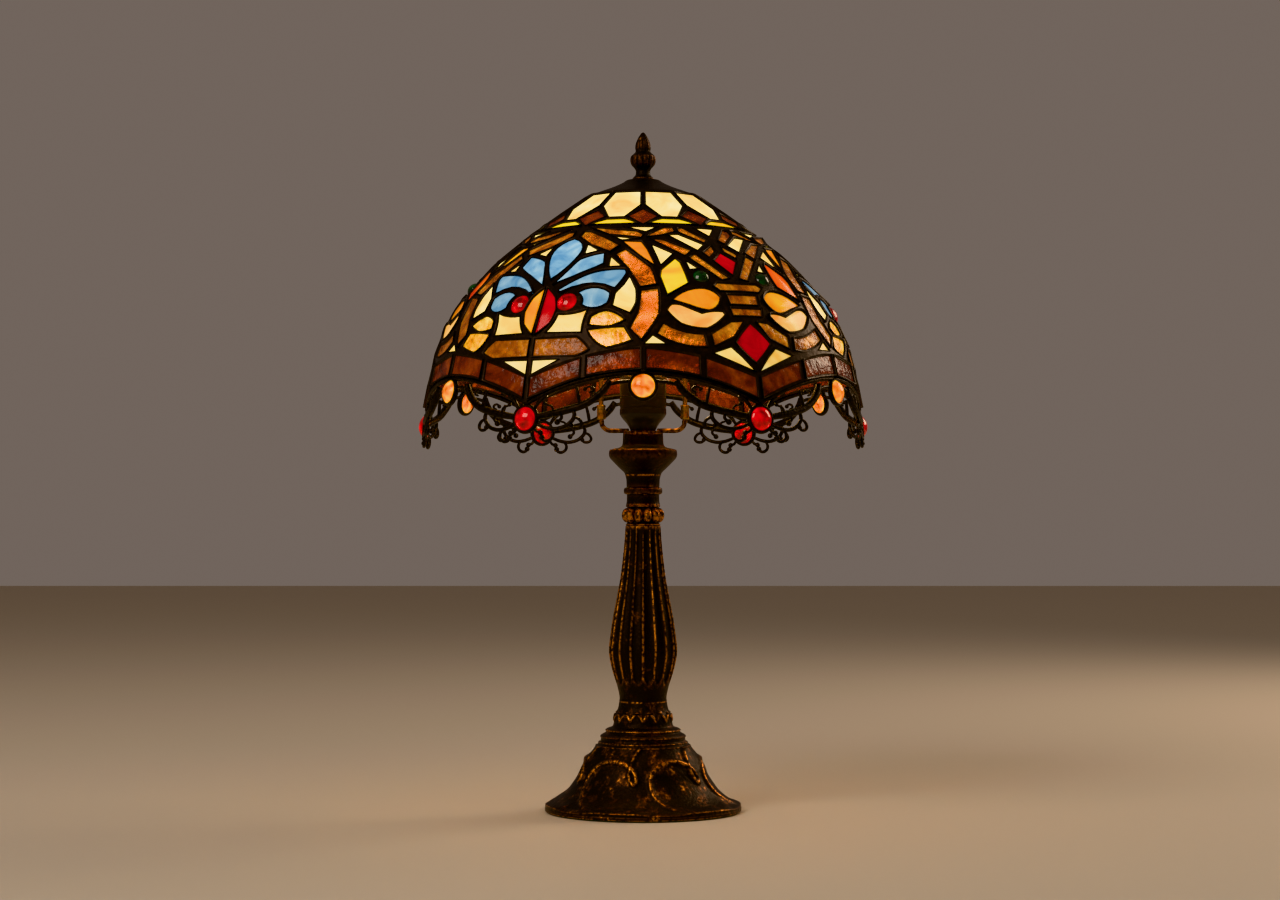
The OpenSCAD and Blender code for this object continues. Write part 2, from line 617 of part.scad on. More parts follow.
// Centre line of one side of the bow, from the leg up to the boss
bow_x2 = harp_leg_x + bow_out_r * (1 - cos(bow_out_a)) - bow_in_r * cos(bow_out_a);
bow_z2 = bow_z + (bow_out_r + bow_in_r) * sin(bow_out_a);
bow_x3 = bow_x2 + (bow_in_r - shoulder_r) * cos(bow_in_a);
bow_z3 = bow_z2 + (bow_in_r - shoulder_r) * sin(bow_in_a);
bow_path = concat(
  [[harp_leg_x, bow_z - 8], [harp_leg_x, bow_z]],
  arc_points(harp_leg_x + bow_out_r, bow_z, bow_out_r, 180, 180 - bow_out_a, 4),
  arc_points(bow_x2, bow_z2, bow_in_r, -bow_out_a, bow_in_a, 8),
  arc_points(bow_x3, bow_z3, shoulder_r, bow_in_a, 90, 6),
  [[boss_r - 1, harp_top_z]]
);

// A round foot that the ferrule slides on, and the bow above it
module harp_side() {
  translate([harp_leg_x, 0, harp_joint_z]) cylinder(h = bow_z - harp_joint_z - 4, r = harp_wire_r);
  rotate([90, 0, 0]) translate([0, 0, -harp_wire_r]) linear_extrude(2 * harp_wire_r)
    polygon(stroke_outline(bow_path, 1.8 * harp_wire_r));
}
module harp() {
  color("goldenrod") {
    difference() {
      union() {
        harp_side();
        mirror([1, 0, 0]) harp_side();
        translate([0, 0, harp_top_z - 3]) cylinder(h = washer_z - harp_top_z + 3, r = boss_r);
      }
      translate([0, 0, harp_top_z - 4]) cylinder(h = 20, r = stud_r + stud_fit);
    }
  }
}
module harp_stud() {
  color("goldenrod") translate([0, 0, harp_top_z - 3])
    cylinder(h = cap_top_z + stud_up - harp_top_z + 3, r = stud_r);
}

saddle_r = 12.6;
saddle_bend_r = 7;
saddle_arm_z = saddle_z + 0.7;
module saddle_arm() {
  x = harp_leg_x - saddle_bend_r;
  translate([saddle_r - 2, 0, saddle_arm_z + 1]) rotate([0, 90, 0])
    cylinder(h = x - saddle_r + 2, r = harp_wire_r, $fn = 24);
  translate([x, 0, saddle_arm_z + 1 + saddle_bend_r]) rotate([90, 0, 0]) rotate([0, 0, -90])
    rotate_extrude(angle = 90) translate([saddle_bend_r, 0]) circle(r = harp_wire_r, $fn = 24);
  translate([harp_leg_x, 0, saddle_arm_z + 1 + saddle_bend_r])
    cylinder(h = harp_joint_z - saddle_arm_z - 1 - saddle_bend_r, r = harp_wire_r, $fn = 24);
}
module harp_saddle() {
  color("goldenrod") {
    saddle_arm();
    mirror([1, 0, 0]) saddle_arm();
    translate([0, 0, saddle_z]) difference() {
      cylinder(h = saddle_t, r = saddle_r);
      translate([0, 0, -1]) cylinder(h = saddle_t + 2, r = tube_hole_r);
    }
  }
}

ferrule_z = harp_joint_z - ferrule_h / 2;
module ferrule() {
  bore = harp_wire_r + ferrule_gap;
  color("goldenrod") translate([harp_leg_x, 0, ferrule_z]) rotate_extrude() polygon([
    [bore, 0], [bore + 1.4, 0], [bore + 1.1, 0.2 * ferrule_h], [bore + 1.1, 0.8 * ferrule_h],
    [bore + 1.4, ferrule_h], [bore, ferrule_h]
  ]);
}
module ferrule_left() { mirror([1, 0, 0]) ferrule(); }
module ferrule_right() { ferrule(); }

// ---- Socket and bulb ----

socket_wall = 1.6;
cap_h = 14;
shell_z = socket_z + cap_h;
core_r = socket_r - socket_wall - clear;
core_h = 8;
screw_r = bulb_base_r + screw_gap;
screw_wall = 0.5;
screw_z = shell_z + core_h;
screw_h = socket_z + socket_h - screw_z - 2;
bulb_z = screw_z + 2.4;
contact_h = bulb_z - screw_z;
tube_up = 8; // how far the threaded tube stands up into the socket cap

module socket_cap() {
  color("dimgray") translate([0, 0, socket_z]) difference() {
    rotate_extrude() polygon([
      [0, 0], [8.6, 0], [9.4, 2], [11.6, 5.5], [14.6, 9], [socket_r, 12], [socket_r, cap_h],
      [socket_r - socket_wall, cap_h], [socket_r - socket_wall, 12.4], [13.6, 10.2], [10.6, 7.4],
      [8.4, 5], [0, 5]
    ]);
    translate([0, 0, -1]) cylinder(h = 8, r = tube_hole_r);
  }
}
module socket_shell() {
  color("dimgray") translate([0, 0, shell_z]) difference() {
    cylinder(h = socket_h - cap_h, r = socket_r);
    translate([0, 0, -1]) cylinder(h = socket_h, r = socket_r - socket_wall);
  }
}
module socket_core() {
  color("white") translate([0, 0, shell_z]) difference() {
    cylinder(h = core_h, r = core_r);
    for (x = [-9, 9]) translate([x, 0, -1]) cylinder(h = core_h, r = 1.6);
    translate([0, 0, core_h - 2]) cylinder(h = 3, r = 4);
  }
}
module socket_screw_shell() {
  color("gold") translate([0, 0, screw_z]) difference() {
    cylinder(h = screw_h, r = screw_r + screw_wall);
    translate([0, 0, 0.6]) cylinder(h = screw_h, r = screw_r);
    translate([0, 0, -1]) cylinder(h = 3, r = 8);
  }
}
module socket_contact() {
  color("gold") translate([0, 0, screw_z - 2]) {
    cylinder(h = 2, r = 3.6);
    translate([0, 0, 2]) cylinder(h = contact_h - clear, r = 2.4);
  }
}
module terminal_screws() {
  color("gold") for (x = [-9, 9]) translate([x, 0, shell_z - 2]) {
    cylinder(h = 2, r = 2.6);
    translate([0, 0, 2]) cylinder(h = 5, r = 1.5);
  }
}

bulb_base_h = 24;
bulb_neck_r = 13.6;
bulb_centre_z = bulb_z + bulb_base_h + 44;
bulb_glass_z = bulb_z + bulb_base_h - 4;

module bulb_base() {
  color("silver") translate([0, 0, bulb_z + 4]) difference() {
    cylinder(h = bulb_base_h - 4, r = bulb_base_r);
    translate([0, 0, 1]) cylinder(h = bulb_base_h, r = bulb_base_r - 0.6);
    translate([0, 0, -1]) cylinder(h = 3, r = 8);
  }
}
module bulb_insulator() {
  color("black") translate([0, 0, bulb_z + 0.8]) difference() {
    cylinder(h = 3.2, r1 = 6, r2 = 11);
    translate([0, 0, -1]) cylinder(h = 6, r = 3);
  }
}
module bulb_contact() {
  color("silver") translate([0, 0, bulb_z]) cylinder(h = 3.2, r = 3);
}
module bulb_glass() {
  neck_top = bulb_centre_z - bulb_glass_z;
  color("ivory") translate([0, 0, bulb_glass_z]) rotate_extrude() polygon(concat(
    [[0, 0], [bulb_base_r - 0.7, 0], [bulb_base_r - 0.7, 4.2], [bulb_neck_r, 5], [bulb_neck_r + 0.6, 12],
      [0.58 * bulb_r, 0.42 * neck_top], [0.74 * bulb_r, 0.6 * neck_top], [0.91 * bulb_r, 0.8 * neck_top]],
    [for (a = [-6 : 8 : 90]) [bulb_r * cos(a), neck_top + bulb_r * sin(a)]]
  ));
}

// ---- Threaded tube and what is clamped on it ----

nut_h = 6;
tube_washer_t = 2;
boss_floor_z = base_z + 0.66 * base_h; // underside of the solid top of the base casting
tube_low_z = boss_floor_z - tube_washer_t - nut_h - 4;
tube_top_z = socket_z + tube_up;

module threaded_tube() {
  color("goldenrod") translate([0, 0, tube_low_z]) difference() {
    cylinder(h = tube_top_z - tube_low_z, r = tube_r);
    translate([0, 0, -1]) cylinder(h = tube_top_z - tube_low_z + 2, r = tube_bore_r);
  }
}
module tube_washer() {
  color("silver") translate([0, 0, boss_floor_z - tube_washer_t]) difference() {
    cylinder(h = tube_washer_t, r = 12);
    translate([0, 0, -1]) cylinder(h = tube_washer_t + 2, r = tube_hole_r);
  }
}
module tube_nut() {
  color("silver") translate([0, 0, boss_floor_z - tube_washer_t - nut_h]) difference() {
    cylinder(h = nut_h, r = 9, $fn = 6);
    translate([0, 0, -1]) cylinder(h = nut_h + 2, r = tube_hole_r);
  }
}
module lead_wires() {
  color("darkgoldenrod") for (y = [-1.5, 1.5]) translate([0, y, tube_low_z - 4])
    cylinder(h = shell_z - 5 - tube_low_z, r = 1.1);
}

module drip_collar() {
  h = collar_h;
  color("saddlebrown") translate([0, 0, collar_z]) difference() {
    rotate_extrude() polygon([
      [0, 0], [12.6, 0], [13.4, 0.06 * h], [16.5, 0.16 * h], [20, 0.28 * h], [23, 0.38 * h],
      [24, 0.45 * h], [24, 0.58 * h], [22.6, 0.62 * h], [17, 0.65 * h], [14.4, 0.7 * h],
      [14, 0.78 * h], [14, h], [0, h]
    ]);
    translate([0, 0, -1]) cylinder(h = h + 2, r = tube_hole_r);
  }
}
module neck() {
  h = neck_h;
  color("saddlebrown") translate([0, 0, neck_z]) difference() {
    rotate_extrude() polygon([
      [0, 0], [12, 0], [11.4, 0.1 * h], [11.4, 0.3 * h], [13.2, 0.36 * h], [13.6, 0.46 * h],
      [13.2, 0.56 * h], [11.6, 0.62 * h], [11.8, 0.85 * h], [12.6, h], [0, h]
    ]);
    translate([0, 0, -1]) cylinder(h = h + 2, r = tube_hole_r);
  }
}

bead_count = 12;
bead_core_r = 11.8;
bead_r = 2.6;
// One bead: a round stud with a rounded face, its axis along +X
module bead() {
  rotate([0, 90, 0]) rotate_extrude() polygon([
    [0, bead_core_r - 0.8], [bead_r, bead_core_r - 0.8], [bead_r, bead_core_r + 1.4],
    [0.8 * bead_r, bead_core_r + 2.8], [0.4 * bead_r, bead_core_r + 3.5], [0, bead_core_r + 3.7]
  ]);
}
module bead_ring() {
  h = bead_ring_h;
  color("saddlebrown") translate([0, 0, bead_z]) difference() {
    union() {
      cylinder(h = h, r = bead_core_r);
      for (i = [0 : bead_count - 1]) rotate([0, 0, 360 * i / bead_count]) translate([0, 0, h / 2]) bead();
    }
    translate([0, 0, -1]) cylinder(h = h + 2, r = tube_hole_r);
  }
}
module column() {
  h = column_h;
  color("darkgoldenrod") translate([0, 0, column_z]) difference() {
    rotate_extrude() polygon([
      [0, 0], [16.8, 0], [16.8, 0.03 * h], [18.4, 0.09 * h], [20.6, 0.15 * h], [22.6, 0.21 * h],
      [23.8, 0.265 * h], [23.9, 0.31 * h], [23.3, 0.355 * h], [21.4, 0.465 * h], [18.7, 0.58 * h],
      [16.1, 0.695 * h], [14.3, 0.81 * h], [12.9, 0.925 * h], [12.4, h], [0, h]
    ]);
    translate([0, 0, -1]) cylinder(h = h + 2, r = tube_hole_r);
  }
}

// ---- Base ----

// Outer side of the casting as [share of base_r, share of base_h]
base_side = [
  [1, 0], [1, 0.045], [0.975, 0.06], [0.925, 0.075], [0.868, 0.11], [0.787, 0.17], [0.722, 0.245],
  [0.665, 0.325], [0.628, 0.4], [0.578, 0.475], [0.512, 0.555], [0.475, 0.6], [0.45, 0.645],
  [0.435, 0.67], [0.414, 0.7], [0.374, 0.735], [0.36, 0.75], [0.316, 0.77], [0.3, 0.8], [0.286, 0.87],
  [0.262, 0.92], [0.25, 0.96], [0.243, 1]
];
bushing_z = base_z + 10;
bushing_r = cord_bore_r + 2;
flange_r = bushing_r + 1.6;
flange_t = 2;
flange_y = 0.9 * base_r; // where the flange of the bushing starts
module base() {
  hollow = [for (p = base_side) if (p[1] <= 0.6) [p[0] * base_r - base_wall, p[1] * base_h]];
  color("saddlebrown") translate([0, 0, base_z]) difference() {
    rotate_extrude() polygon(concat(
      [for (p = base_side) [p[0] * base_r, p[1] * base_h]],
      [[0, base_h], [0, 0.66 * base_h], [hollow[len(hollow) - 1][0], 0.66 * base_h]],
      [for (i = [len(hollow) - 1 : -1 : 0]) hollow[i]]
    ));
    translate([0, 0, 0.5 * base_h]) cylinder(h = base_h, r = tube_hole_r);
    translate([0, 0, bushing_z - base_z]) rotate([-90, 0, 0]) {
      cylinder(h = base_r + 5, r = bushing_r);
      translate([0, 0, flange_y]) cylinder(h = base_r, r = flange_r);
    }
  }
}
module cord_bushing() {
  in_y = 0.72 * base_r;
  color("black") translate([0, 0, bushing_z]) rotate([-90, 0, 0]) difference() {
    union() {
      translate([0, 0, in_y]) cylinder(h = flange_y - in_y, r = bushing_r);
      translate([0, 0, flange_y]) cylinder(h = flange_t, r = flange_r);
    }
    translate([0, 0, in_y - 1]) cylinder(h = base_r, r = cord_bore_r);
  }
}
module cover_plate() {
  color("silver") translate([0, 0, base_z]) cylinder(h = plate_t, r = base_r - base_wall - 1);
}
module felt_pad() { color("darkgreen") cylinder(h = felt_t, r = base_r - 1.5); }

finial();
shade_cap();
cap_washer();
crown_ring();
crown_hexagons();
crown_diamonds();
crown_yellow_panes();
crown_came();
fan_petals();
fan_leaves_orange();
fan_leaves_red();
fan_jewels();
fan_grounds();
fan_side_leaves();
ribbons();
cross_diamonds();
cross_jewels();
cross_flames();
cross_petals_orange();
cross_petals_peach();
cross_bars();
cross_grounds();
amber_wedges();
border_panes();
came_front_left();
came_right();
came_rear_left();
filigree_skirt();
arch_bezels();
point_jewels();
arch_jewels();
harp();
harp_stud();
harp_saddle();
ferrule_left();
ferrule_right();
bulb_glass();
bulb_base();
bulb_insulator();
bulb_contact();
socket_cap();
socket_shell();
socket_core();
socket_screw_shell();
socket_contact();
terminal_screws();
lead_wires();
threaded_tube();
tube_nut();
tube_washer();
drip_collar();
neck();
bead_ring();
column();
base();
cord_bushing();
cover_plate();
felt_pad();
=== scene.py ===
"""Stained glass table lamp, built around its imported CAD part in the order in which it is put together."""

from math import atan, cos, exp, pi, radians, sin, tau
from random import Random

import bmesh
import bpy
from mathutils import Matrix, Vector


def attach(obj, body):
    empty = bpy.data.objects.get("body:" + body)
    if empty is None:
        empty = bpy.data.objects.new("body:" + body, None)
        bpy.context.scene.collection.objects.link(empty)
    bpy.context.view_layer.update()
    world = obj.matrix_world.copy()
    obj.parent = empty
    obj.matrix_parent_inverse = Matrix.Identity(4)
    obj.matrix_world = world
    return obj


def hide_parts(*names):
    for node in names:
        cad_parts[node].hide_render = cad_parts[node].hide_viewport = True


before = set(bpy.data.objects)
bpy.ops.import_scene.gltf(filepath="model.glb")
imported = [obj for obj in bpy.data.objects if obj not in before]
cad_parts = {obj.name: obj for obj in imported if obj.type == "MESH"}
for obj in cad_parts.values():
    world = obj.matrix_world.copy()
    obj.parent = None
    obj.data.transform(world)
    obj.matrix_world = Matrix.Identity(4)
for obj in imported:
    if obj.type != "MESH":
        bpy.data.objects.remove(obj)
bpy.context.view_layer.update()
MM = 0.001

# ---- Floor, light and camera ----
# The lamp stands on a plain pale floor, with a large soft light in front of it on the left and a weaker
# one behind it on the right. The camera stands 1.77 m away and 0.2 m above the floor.

EYE = Vector((0, -1.765, 0.205))
LOOK_UP = radians(1.6)
LOOK_LEFT = radians(0.07)
LENS_MM = 70.3


def srgb(code):
    """An sRGB hex colour as linear RGBA."""
    parts = [int(code[i:i + 2], 16) / 255 for i in (0, 2, 4)]
    return [c / 12.92 if c <= 0.04045 else ((c + 0.055) / 1.055) ** 2.4 for c in parts] + [1.0]


def material(name):
    """A new node material with only its output in it."""
    mat = bpy.data.materials.new(name)
    mat.use_nodes = True
    mat.node_tree.nodes.clear()
    mat.node_tree.nodes.new("ShaderNodeOutputMaterial")
    return mat


def add(mat, kind, links=None, **settings):
    """Adds a node. Settings name its properties or sockets; links give (node, socket) for a socket."""
    node = mat.node_tree.nodes.new("ShaderNode" + kind)
    for name, value in settings.items():
        if hasattr(node, name):
            setattr(node, name, value)
    sockets = {s.name: s for s in reversed(node.inputs)}
    for name, value in settings.items():
        if not hasattr(node, name):
            sockets[name.replace("_", " ")].default_value = value
    for name, (source, output) in (links or {}).items():
        target = node.inputs[name] if isinstance(name, int) else sockets[name]
        mat.node_tree.links.new(source.outputs[output], target)
    return node


def show(mat, shader):
    """Sends a shader to the material's surface."""
    end = mat.node_tree.nodes["Material Output"]
    mat.node_tree.links.new(shader.outputs[0], end.inputs["Surface"])
    return mat


def ramp(mat, source, stops):
    """A colour ramp on a node's first output, with its stops as (place, colour)."""
    node = add(mat, "ValToRGB", {"Fac": (source, 0)})
    line = node.color_ramp
    while len(line.elements) < len(stops):
        line.elements.new(1.0)
    for element, (place, colour) in zip(line.elements, stops):
        element.position = place
        element.color = srgb(colour)
    return node


floor_bm = bmesh.new()
bmesh.ops.create_grid(floor_bm, x_segments=1, y_segments=1, size=6)
floor_mesh = bpy.data.meshes.new("floor")
floor_bm.to_mesh(floor_mesh)
floor_bm.free()
floor = bpy.data.objects.new("floor", floor_mesh)
bpy.context.scene.collection.objects.link(floor)

# Pale plaster board: matt and plain, so that only the lamp draws the eye
plaster = material("pale_plaster")
paint = add(plaster, "BsdfPrincipled", Base_Color=srgb("cfc4b4"), Roughness=0.75)
floor_mesh.materials.append(show(plaster, paint))

world = bpy.data.worlds.new("soft_room")
world.use_nodes = True
world.node_tree.nodes["Background"].inputs["Color"].default_value = srgb("b9aaa0")
world.node_tree.nodes["Background"].inputs["Strength"].default_value = 0.42
bpy.context.scene.world = world


def soft_light(name, place, size, watts, colour):
    """A square area light aimed at the middle of the lamp."""
    light = bpy.data.lights.new(name, "AREA")
    light.size = size
    light.energy = watts
    light.color = srgb(colour)[:3]
    holder = bpy.data.objects.new(name, light)
    holder.location = place
    holder.rotation_euler = (Vector((0, 0, 0.2)) - Vector(place)).to_track_quat("-Z", "Y").to_euler()
    bpy.context.scene.collection.objects.link(holder)


soft_light("key", (-1.3, -1.6, 1.5), 1.4, 30, "fff1e2")
soft_light("rim", (1.5, 0.9, 1.1), 1.0, 16, "ffe2c4")

camera = bpy.data.cameras.new("camera")
camera.lens = LENS_MM
camera.sensor_width = 36
camera.clip_end = 30
viewpoint = bpy.data.objects.new("camera", camera)
viewpoint.location = EYE
viewpoint.rotation_euler = (pi / 2 + LOOK_UP, 0, LOOK_LEFT)
bpy.context.scene.collection.objects.link(viewpoint)
bpy.context.scene.camera = viewpoint

# The neutral view keeps the glass, whose glow is painted on, as strong in colour as it is set
bpy.context.scene.view_settings.view_transform = "Khronos PBR Neutral"

# ---- Felt pad and cover plate ----
# A disc of pressed wool felt is glued to the steel plate that closes the hollow base, so that the lamp
# doesn't scratch the table. Both are the CAD pieces with their own finish.


def finish_node(name, mat):
    """Gives a carried-over CAD node its finish."""
    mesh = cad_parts[name].data
    mesh.materials.clear()
    mesh.materials.append(mat)


def object_coords(mat):
    """A node whose first output is the object's own coordinates in metres."""
    return add(mat, "Mapping", {"Vector": (add(mat, "TexCoord"), "Object")})


def rough_bump(mat, coords, grain_mm, height_mm, detail=4.0):
    """Bump from noise whose grain is about grain_mm across. Gives the bump node and the noise node."""
    grain = add(mat, "TexNoise", {"Vector": (coords, 0)}, Scale=1 / (grain_mm * MM), Detail=detail)
    return add(mat, "Bump", {"Height": (grain, 0)}, Distance=height_mm * MM, Strength=1.0), grain


# Pressed wool felt: soft sheen, uneven dye, and hairs drawn 0.8 mm apart, coarser than real, to show
felt = material("green_wool_felt")
coords = object_coords(felt)
hairs, mottle = rough_bump(felt, coords, 0.8, 0.3)
dye = ramp(felt, mottle, [(0.35, "16241a"), (0.7, "2c4433")])
wool = add(felt, "BsdfPrincipled", {"Base Color": (dye, 0), "Normal": (hairs, 0)}, Roughness=0.95,
           Sheen_Weight=0.4)
finish_node("felt_pad", show(felt, wool))

# Zinc-plated steel sheet: grey metal with a faint crystalline mottle of about 5 mm
zinc = material("zinc_plated_steel")
coords = object_coords(zinc)
grit, spangle = rough_bump(zinc, coords, 5, 0.02)
tone = ramp(zinc, spangle, [(0.35, "8d9094"), (0.65, "b9bcc0")])
plated_sheet = add(zinc, "BsdfPrincipled", {"Base Color": (tone, 0), "Normal": (grit, 0)}, Metallic=1.0,
                   Roughness=0.38)
show(zinc, plated_sheet)
for name in ("cover_plate", "tube_washer", "tube_nut"):
    finish_node(name, zinc)

# ---- Base casting ----
# A hollow bell of cast metal with six comma-shaped loops round its skirt and stepped rings at its
# shoulder, sprayed dark bronze and then rubbed so that copper shows on what stands proud.

BASE_Z = 1.2
BASE_H = 76
BASE_R = 69
BASE_WALL = 3.4
BASE_HOLE = 12
# Outside of the base from its foot up, as (part of the radius, part of the height)
BASE_SIDE = [
    (1, 0), (1, 0), (1.0, 0.03), (0.985, 0.05), (0.925, 0.075), (0.868, 0.11), (0.787, 0.17),
    (0.722, 0.245), (0.665, 0.325), (0.628, 0.4), (0.578, 0.475), (0.512, 0.555), (0.49, 0.585),
    (0.485, 0.6), (0.46, 0.61), (0.456, 0.63), (0.435, 0.64), (0.43, 0.665), (0.438, 0.68),
    (0.425, 0.695), (0.38, 0.72), (0.385, 0.74), (0.36, 0.755), (0.316, 0.77), (0.3, 0.8),
    (0.286, 0.87), (0.262, 0.92), (0.25, 0.96), (0.243, 1), (0.243, 1),
]


def drawn(points, per=4):
    """A smooth line through (r, z) points; a point given twice is a corner."""
    runs, run = [], [points[0]]
    for a, b in zip(points, points[1:]):
        if a == b:
            runs.append(run)
            run = []
        run.append(b)
    runs.append(run)
    line = []
    for run in [r for r in runs if len(r) > 1]:
        pts = [Vector(p) for p in run]
        for i in range(len(pts) - 1):
            p0, p1, p2, p3 = pts[max(i - 1, 0)], pts[i], pts[i + 1], pts[min(i + 2, len(pts) - 1)]
            for k in range(per):
                t = k / per
                line.append(0.5 * (2 * p1 + (p2 - p0) * t + (2 * p0 - 5 * p1 + 4 * p2 - p3) * t * t
                                   + (3 * p1 - p0 - 3 * p2 + p3) * t ** 3))
        line.append(pts[-1])
    return [(max(p[0], 0), p[1]) for p in line]


def turned(profile, steps=96):
    """Spins a profile of (r, z) in mm about the lamp's axis."""
    bm = bmesh.new()
    verts = [bm.verts.new((r * MM, 0, z * MM)) for r, z in profile]
    edges = [bm.edges.new(pair) for pair in zip(verts, verts[1:])]
    bmesh.ops.spin(bm, geom=verts + edges, cent=(0, 0, 0), axis=(0, 0, 1), angle=tau, steps=steps,
                   use_merge=True)
    bmesh.ops.remove_doubles(bm, verts=bm.verts, dist=1e-6)
    bmesh.ops.recalc_face_normals(bm, faces=bm.faces)
    return bm


def piece(bm, name, mat, body, slot, *nodes, sharp=40):
    """Makes an object of a bmesh: smooth but for edges over `sharp` degrees, riding on a body."""
    mesh = bpy.data.meshes.new(name)
    bm.to_mesh(mesh)
    bm.free()
    mesh.shade_smooth()
    mesh.set_sharp_from_angle(angle=radians(sharp))
    mesh.materials.append(mat)
    made = bpy.data.objects.new(name, mesh)
    bpy.context.scene.collection.objects.link(made)
    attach(made, body)
    if nodes:
        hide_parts(*nodes)


# Antique bronze: nearly black paint over metal, worn to copper and gold on edges and high spots. The
# casting's grain is about 2 mm, with the rubbed colour broken up at about 9 mm.
def antique_bronze(name, wear, dark="150c07", worn="c07a30", between="4a2812"):
    """Rubbed bronze. wear is how far the rubbing spreads beyond the edges, below 0 for hardly any."""
    mat = material(name)
    coords = object_coords(mat)
    cast, grain = rough_bump(mat, coords, 2.2, 0.5)
    patch = add(mat, "TexNoise", {"Vector": (coords, 0)}, Scale=1 / (9 * MM), Detail=5.0, Roughness=0.65)
    edge = add(mat, "NewGeometry")
    proud = add(mat, "MapRange", {"Value": (edge, "Pointiness")}, From_Min=0.503, From_Max=0.54)
    broken = add(mat, "MapRange", {"Value": (patch, 0)}, From_Min=0.62 - wear, From_Max=0.8 - wear)
    rubbed = add(mat, "Math", {0: (proud, 0), 1: (broken, 0)}, operation="ADD", use_clamp=True)
    fleck = add(mat, "MapRange", {"Value": (grain, 0)}, From_Min=0.36, From_Max=0.56)
    amount = add(mat, "Math", {0: (rubbed, 0), 1: (fleck, 0)}, operation="MULTIPLY", use_clamp=True)
    tone = ramp(mat, amount, [(0.0, dark), (0.45, between), (1.0, worn)])
    gloss = add(mat, "MapRange", {"Value": (amount, 0)}, To_Min=0.42, To_Max=0.3)
    metal = add(mat, "BsdfPrincipled", {"Base Color": (tone, 0), "Roughness": (gloss, 0),
                                        "Normal": (cast, 0)}, Metallic=0.85)
    return show(mat, metal)


bronze = antique_bronze("antique_bronze_rubbed", 0.03)
base_bronze = antique_bronze("antique_bronze_rubbed_base", 0.1)

LOOPS = 6
LOOP_W = 2.6
LOOP_RISE = 2.4
LOOPS_TOP = 0.6  # part of the height below which the loops lie
LEAVES = 14
LEAF_MM = 8
LEAF_FOOT, LEAF_TOP = 0.78, 0.95
SIXTH_MM = 52  # mean width of a sixth of the skirt, in which the loops are drawn
# One comma-shaped loop as (part of the sixth, part of the height), from its tail round to its tip
LOOP_LINE = [
    (0.98, 0.62), (0.86, 0.55), (0.8, 0.44), (0.8, 0.36), (0.86, 0.3), (0.9, 0.33), (0.84, 0.42),
    (0.7, 0.47), (0.48, 0.49), (0.27, 0.46), (0.13, 0.38), (0.1, 0.28), (0.16, 0.18), (0.3, 0.1),
    (0.52, 0.065), (0.78, 0.06), (1.06, 0.08),
]


def turn_of(place):
    """How far round the lamp's axis a place is from the front, as a part of a turn."""
    return (Vector((place.x, place.y)).angle_signed(Vector((0, -1))) / tau) % 1.0


def rise_along(line, width, rise):
    """A function of (x, y) that is `rise` on a line and fades to nothing at `width` from it."""
    dots = [Vector(p) for p in drawn(line, 8)]

    def height(x, y):
        near = min((x - d[0]) ** 2 + (y - d[1]) ** 2 for d in dots) ** 0.5
        return rise * exp(-((near / width) ** 2) * 2)
    return height


side = [(r * BASE_R, BASE_Z + z * BASE_H) for r, z in drawn(BASE_SIDE, 6)]
wall = [(r - BASE_WALL, z) for r, z in side if z < BASE_Z + 0.55 * BASE_H]
casting = turned([(BASE_HOLE, BASE_Z + BASE_H - 4), (BASE_HOLE, BASE_Z + BASE_H)] + side[::-1] + wall
                 + [(BASE_HOLE, BASE_Z + 0.6 * BASE_H), (BASE_HOLE, BASE_Z + BASE_H - 4)], 320)
loop_rise = rise_along([(u * SIXTH_MM, v * BASE_H) for u, v in LOOP_LINE], LOOP_W, LOOP_RISE)
leaf_rise = rise_along([(0, 4), (LEAF_MM / 2, 9), (LEAF_MM, 4)], 1.6, 1.3)
outer_r = {round(z, 3): r for r, z in side}
for v in casting.verts:
    r = v.co.xy.length / MM
    z = v.co.z / MM
    if round(z, 3) not in outer_r or abs(outer_r[round(z, 3)] - r) > 0.01:
        continue
    turn = turn_of(v.co)
    up = z - BASE_Z
    rise = 0.0
    if 2 < up < LOOPS_TOP * BASE_H:
        part = (turn * LOOPS) % 1.0
        rise = max(loop_rise((part + k) * SIXTH_MM, up) for k in (0, 1))
        rise = min(rise, BASE_R - 0.2 - r) if r > BASE_R - 4 else rise
    elif LEAF_FOOT * BASE_H < up < LEAF_TOP * BASE_H:
        rise = leaf_rise((turn * LEAVES) % 1.0 * LEAF_MM, up - LEAF_FOOT * BASE_H)
    v.co.xy *= (r + rise) / r
piece(casting, "base_casting", base_bronze, "stand", "bronze", "base", sharp=50)

# ---- Cord bushing ----
# A moulded phenolic bushing lines the hole in the back of the base where the cord comes out, so that
# the edge of the casting can't cut it. It is pushed in from outside up to its flange.

# Black phenolic: semi-gloss, with the faint orange peel of a worn mould
phenolic = material("black_phenolic")
coords = object_coords(phenolic)
peel, cloud = rough_bump(phenolic, coords, 3, 0.03)
tone = ramp(phenolic, cloud, [(0.3, "0d0b0a"), (0.7, "1b1714")])
gloss = add(phenolic, "MapRange", {"Value": (cloud, 0)}, To_Min=0.28, To_Max=0.42)
moulded = add(phenolic, "BsdfPrincipled", {"Base Color": (tone, 0), "Roughness": (gloss, 0),
                                           "Normal": (peel, 0)})
show(phenolic, moulded)
finish_node("cord_bushing", phenolic)

# ---- Threaded tube and lead wires ----
# A threaded brass tube runs from the nut under the base casting up to the socket and clamps the whole
# stem. Two sleeved wires run inside it, up to the socket's screws.

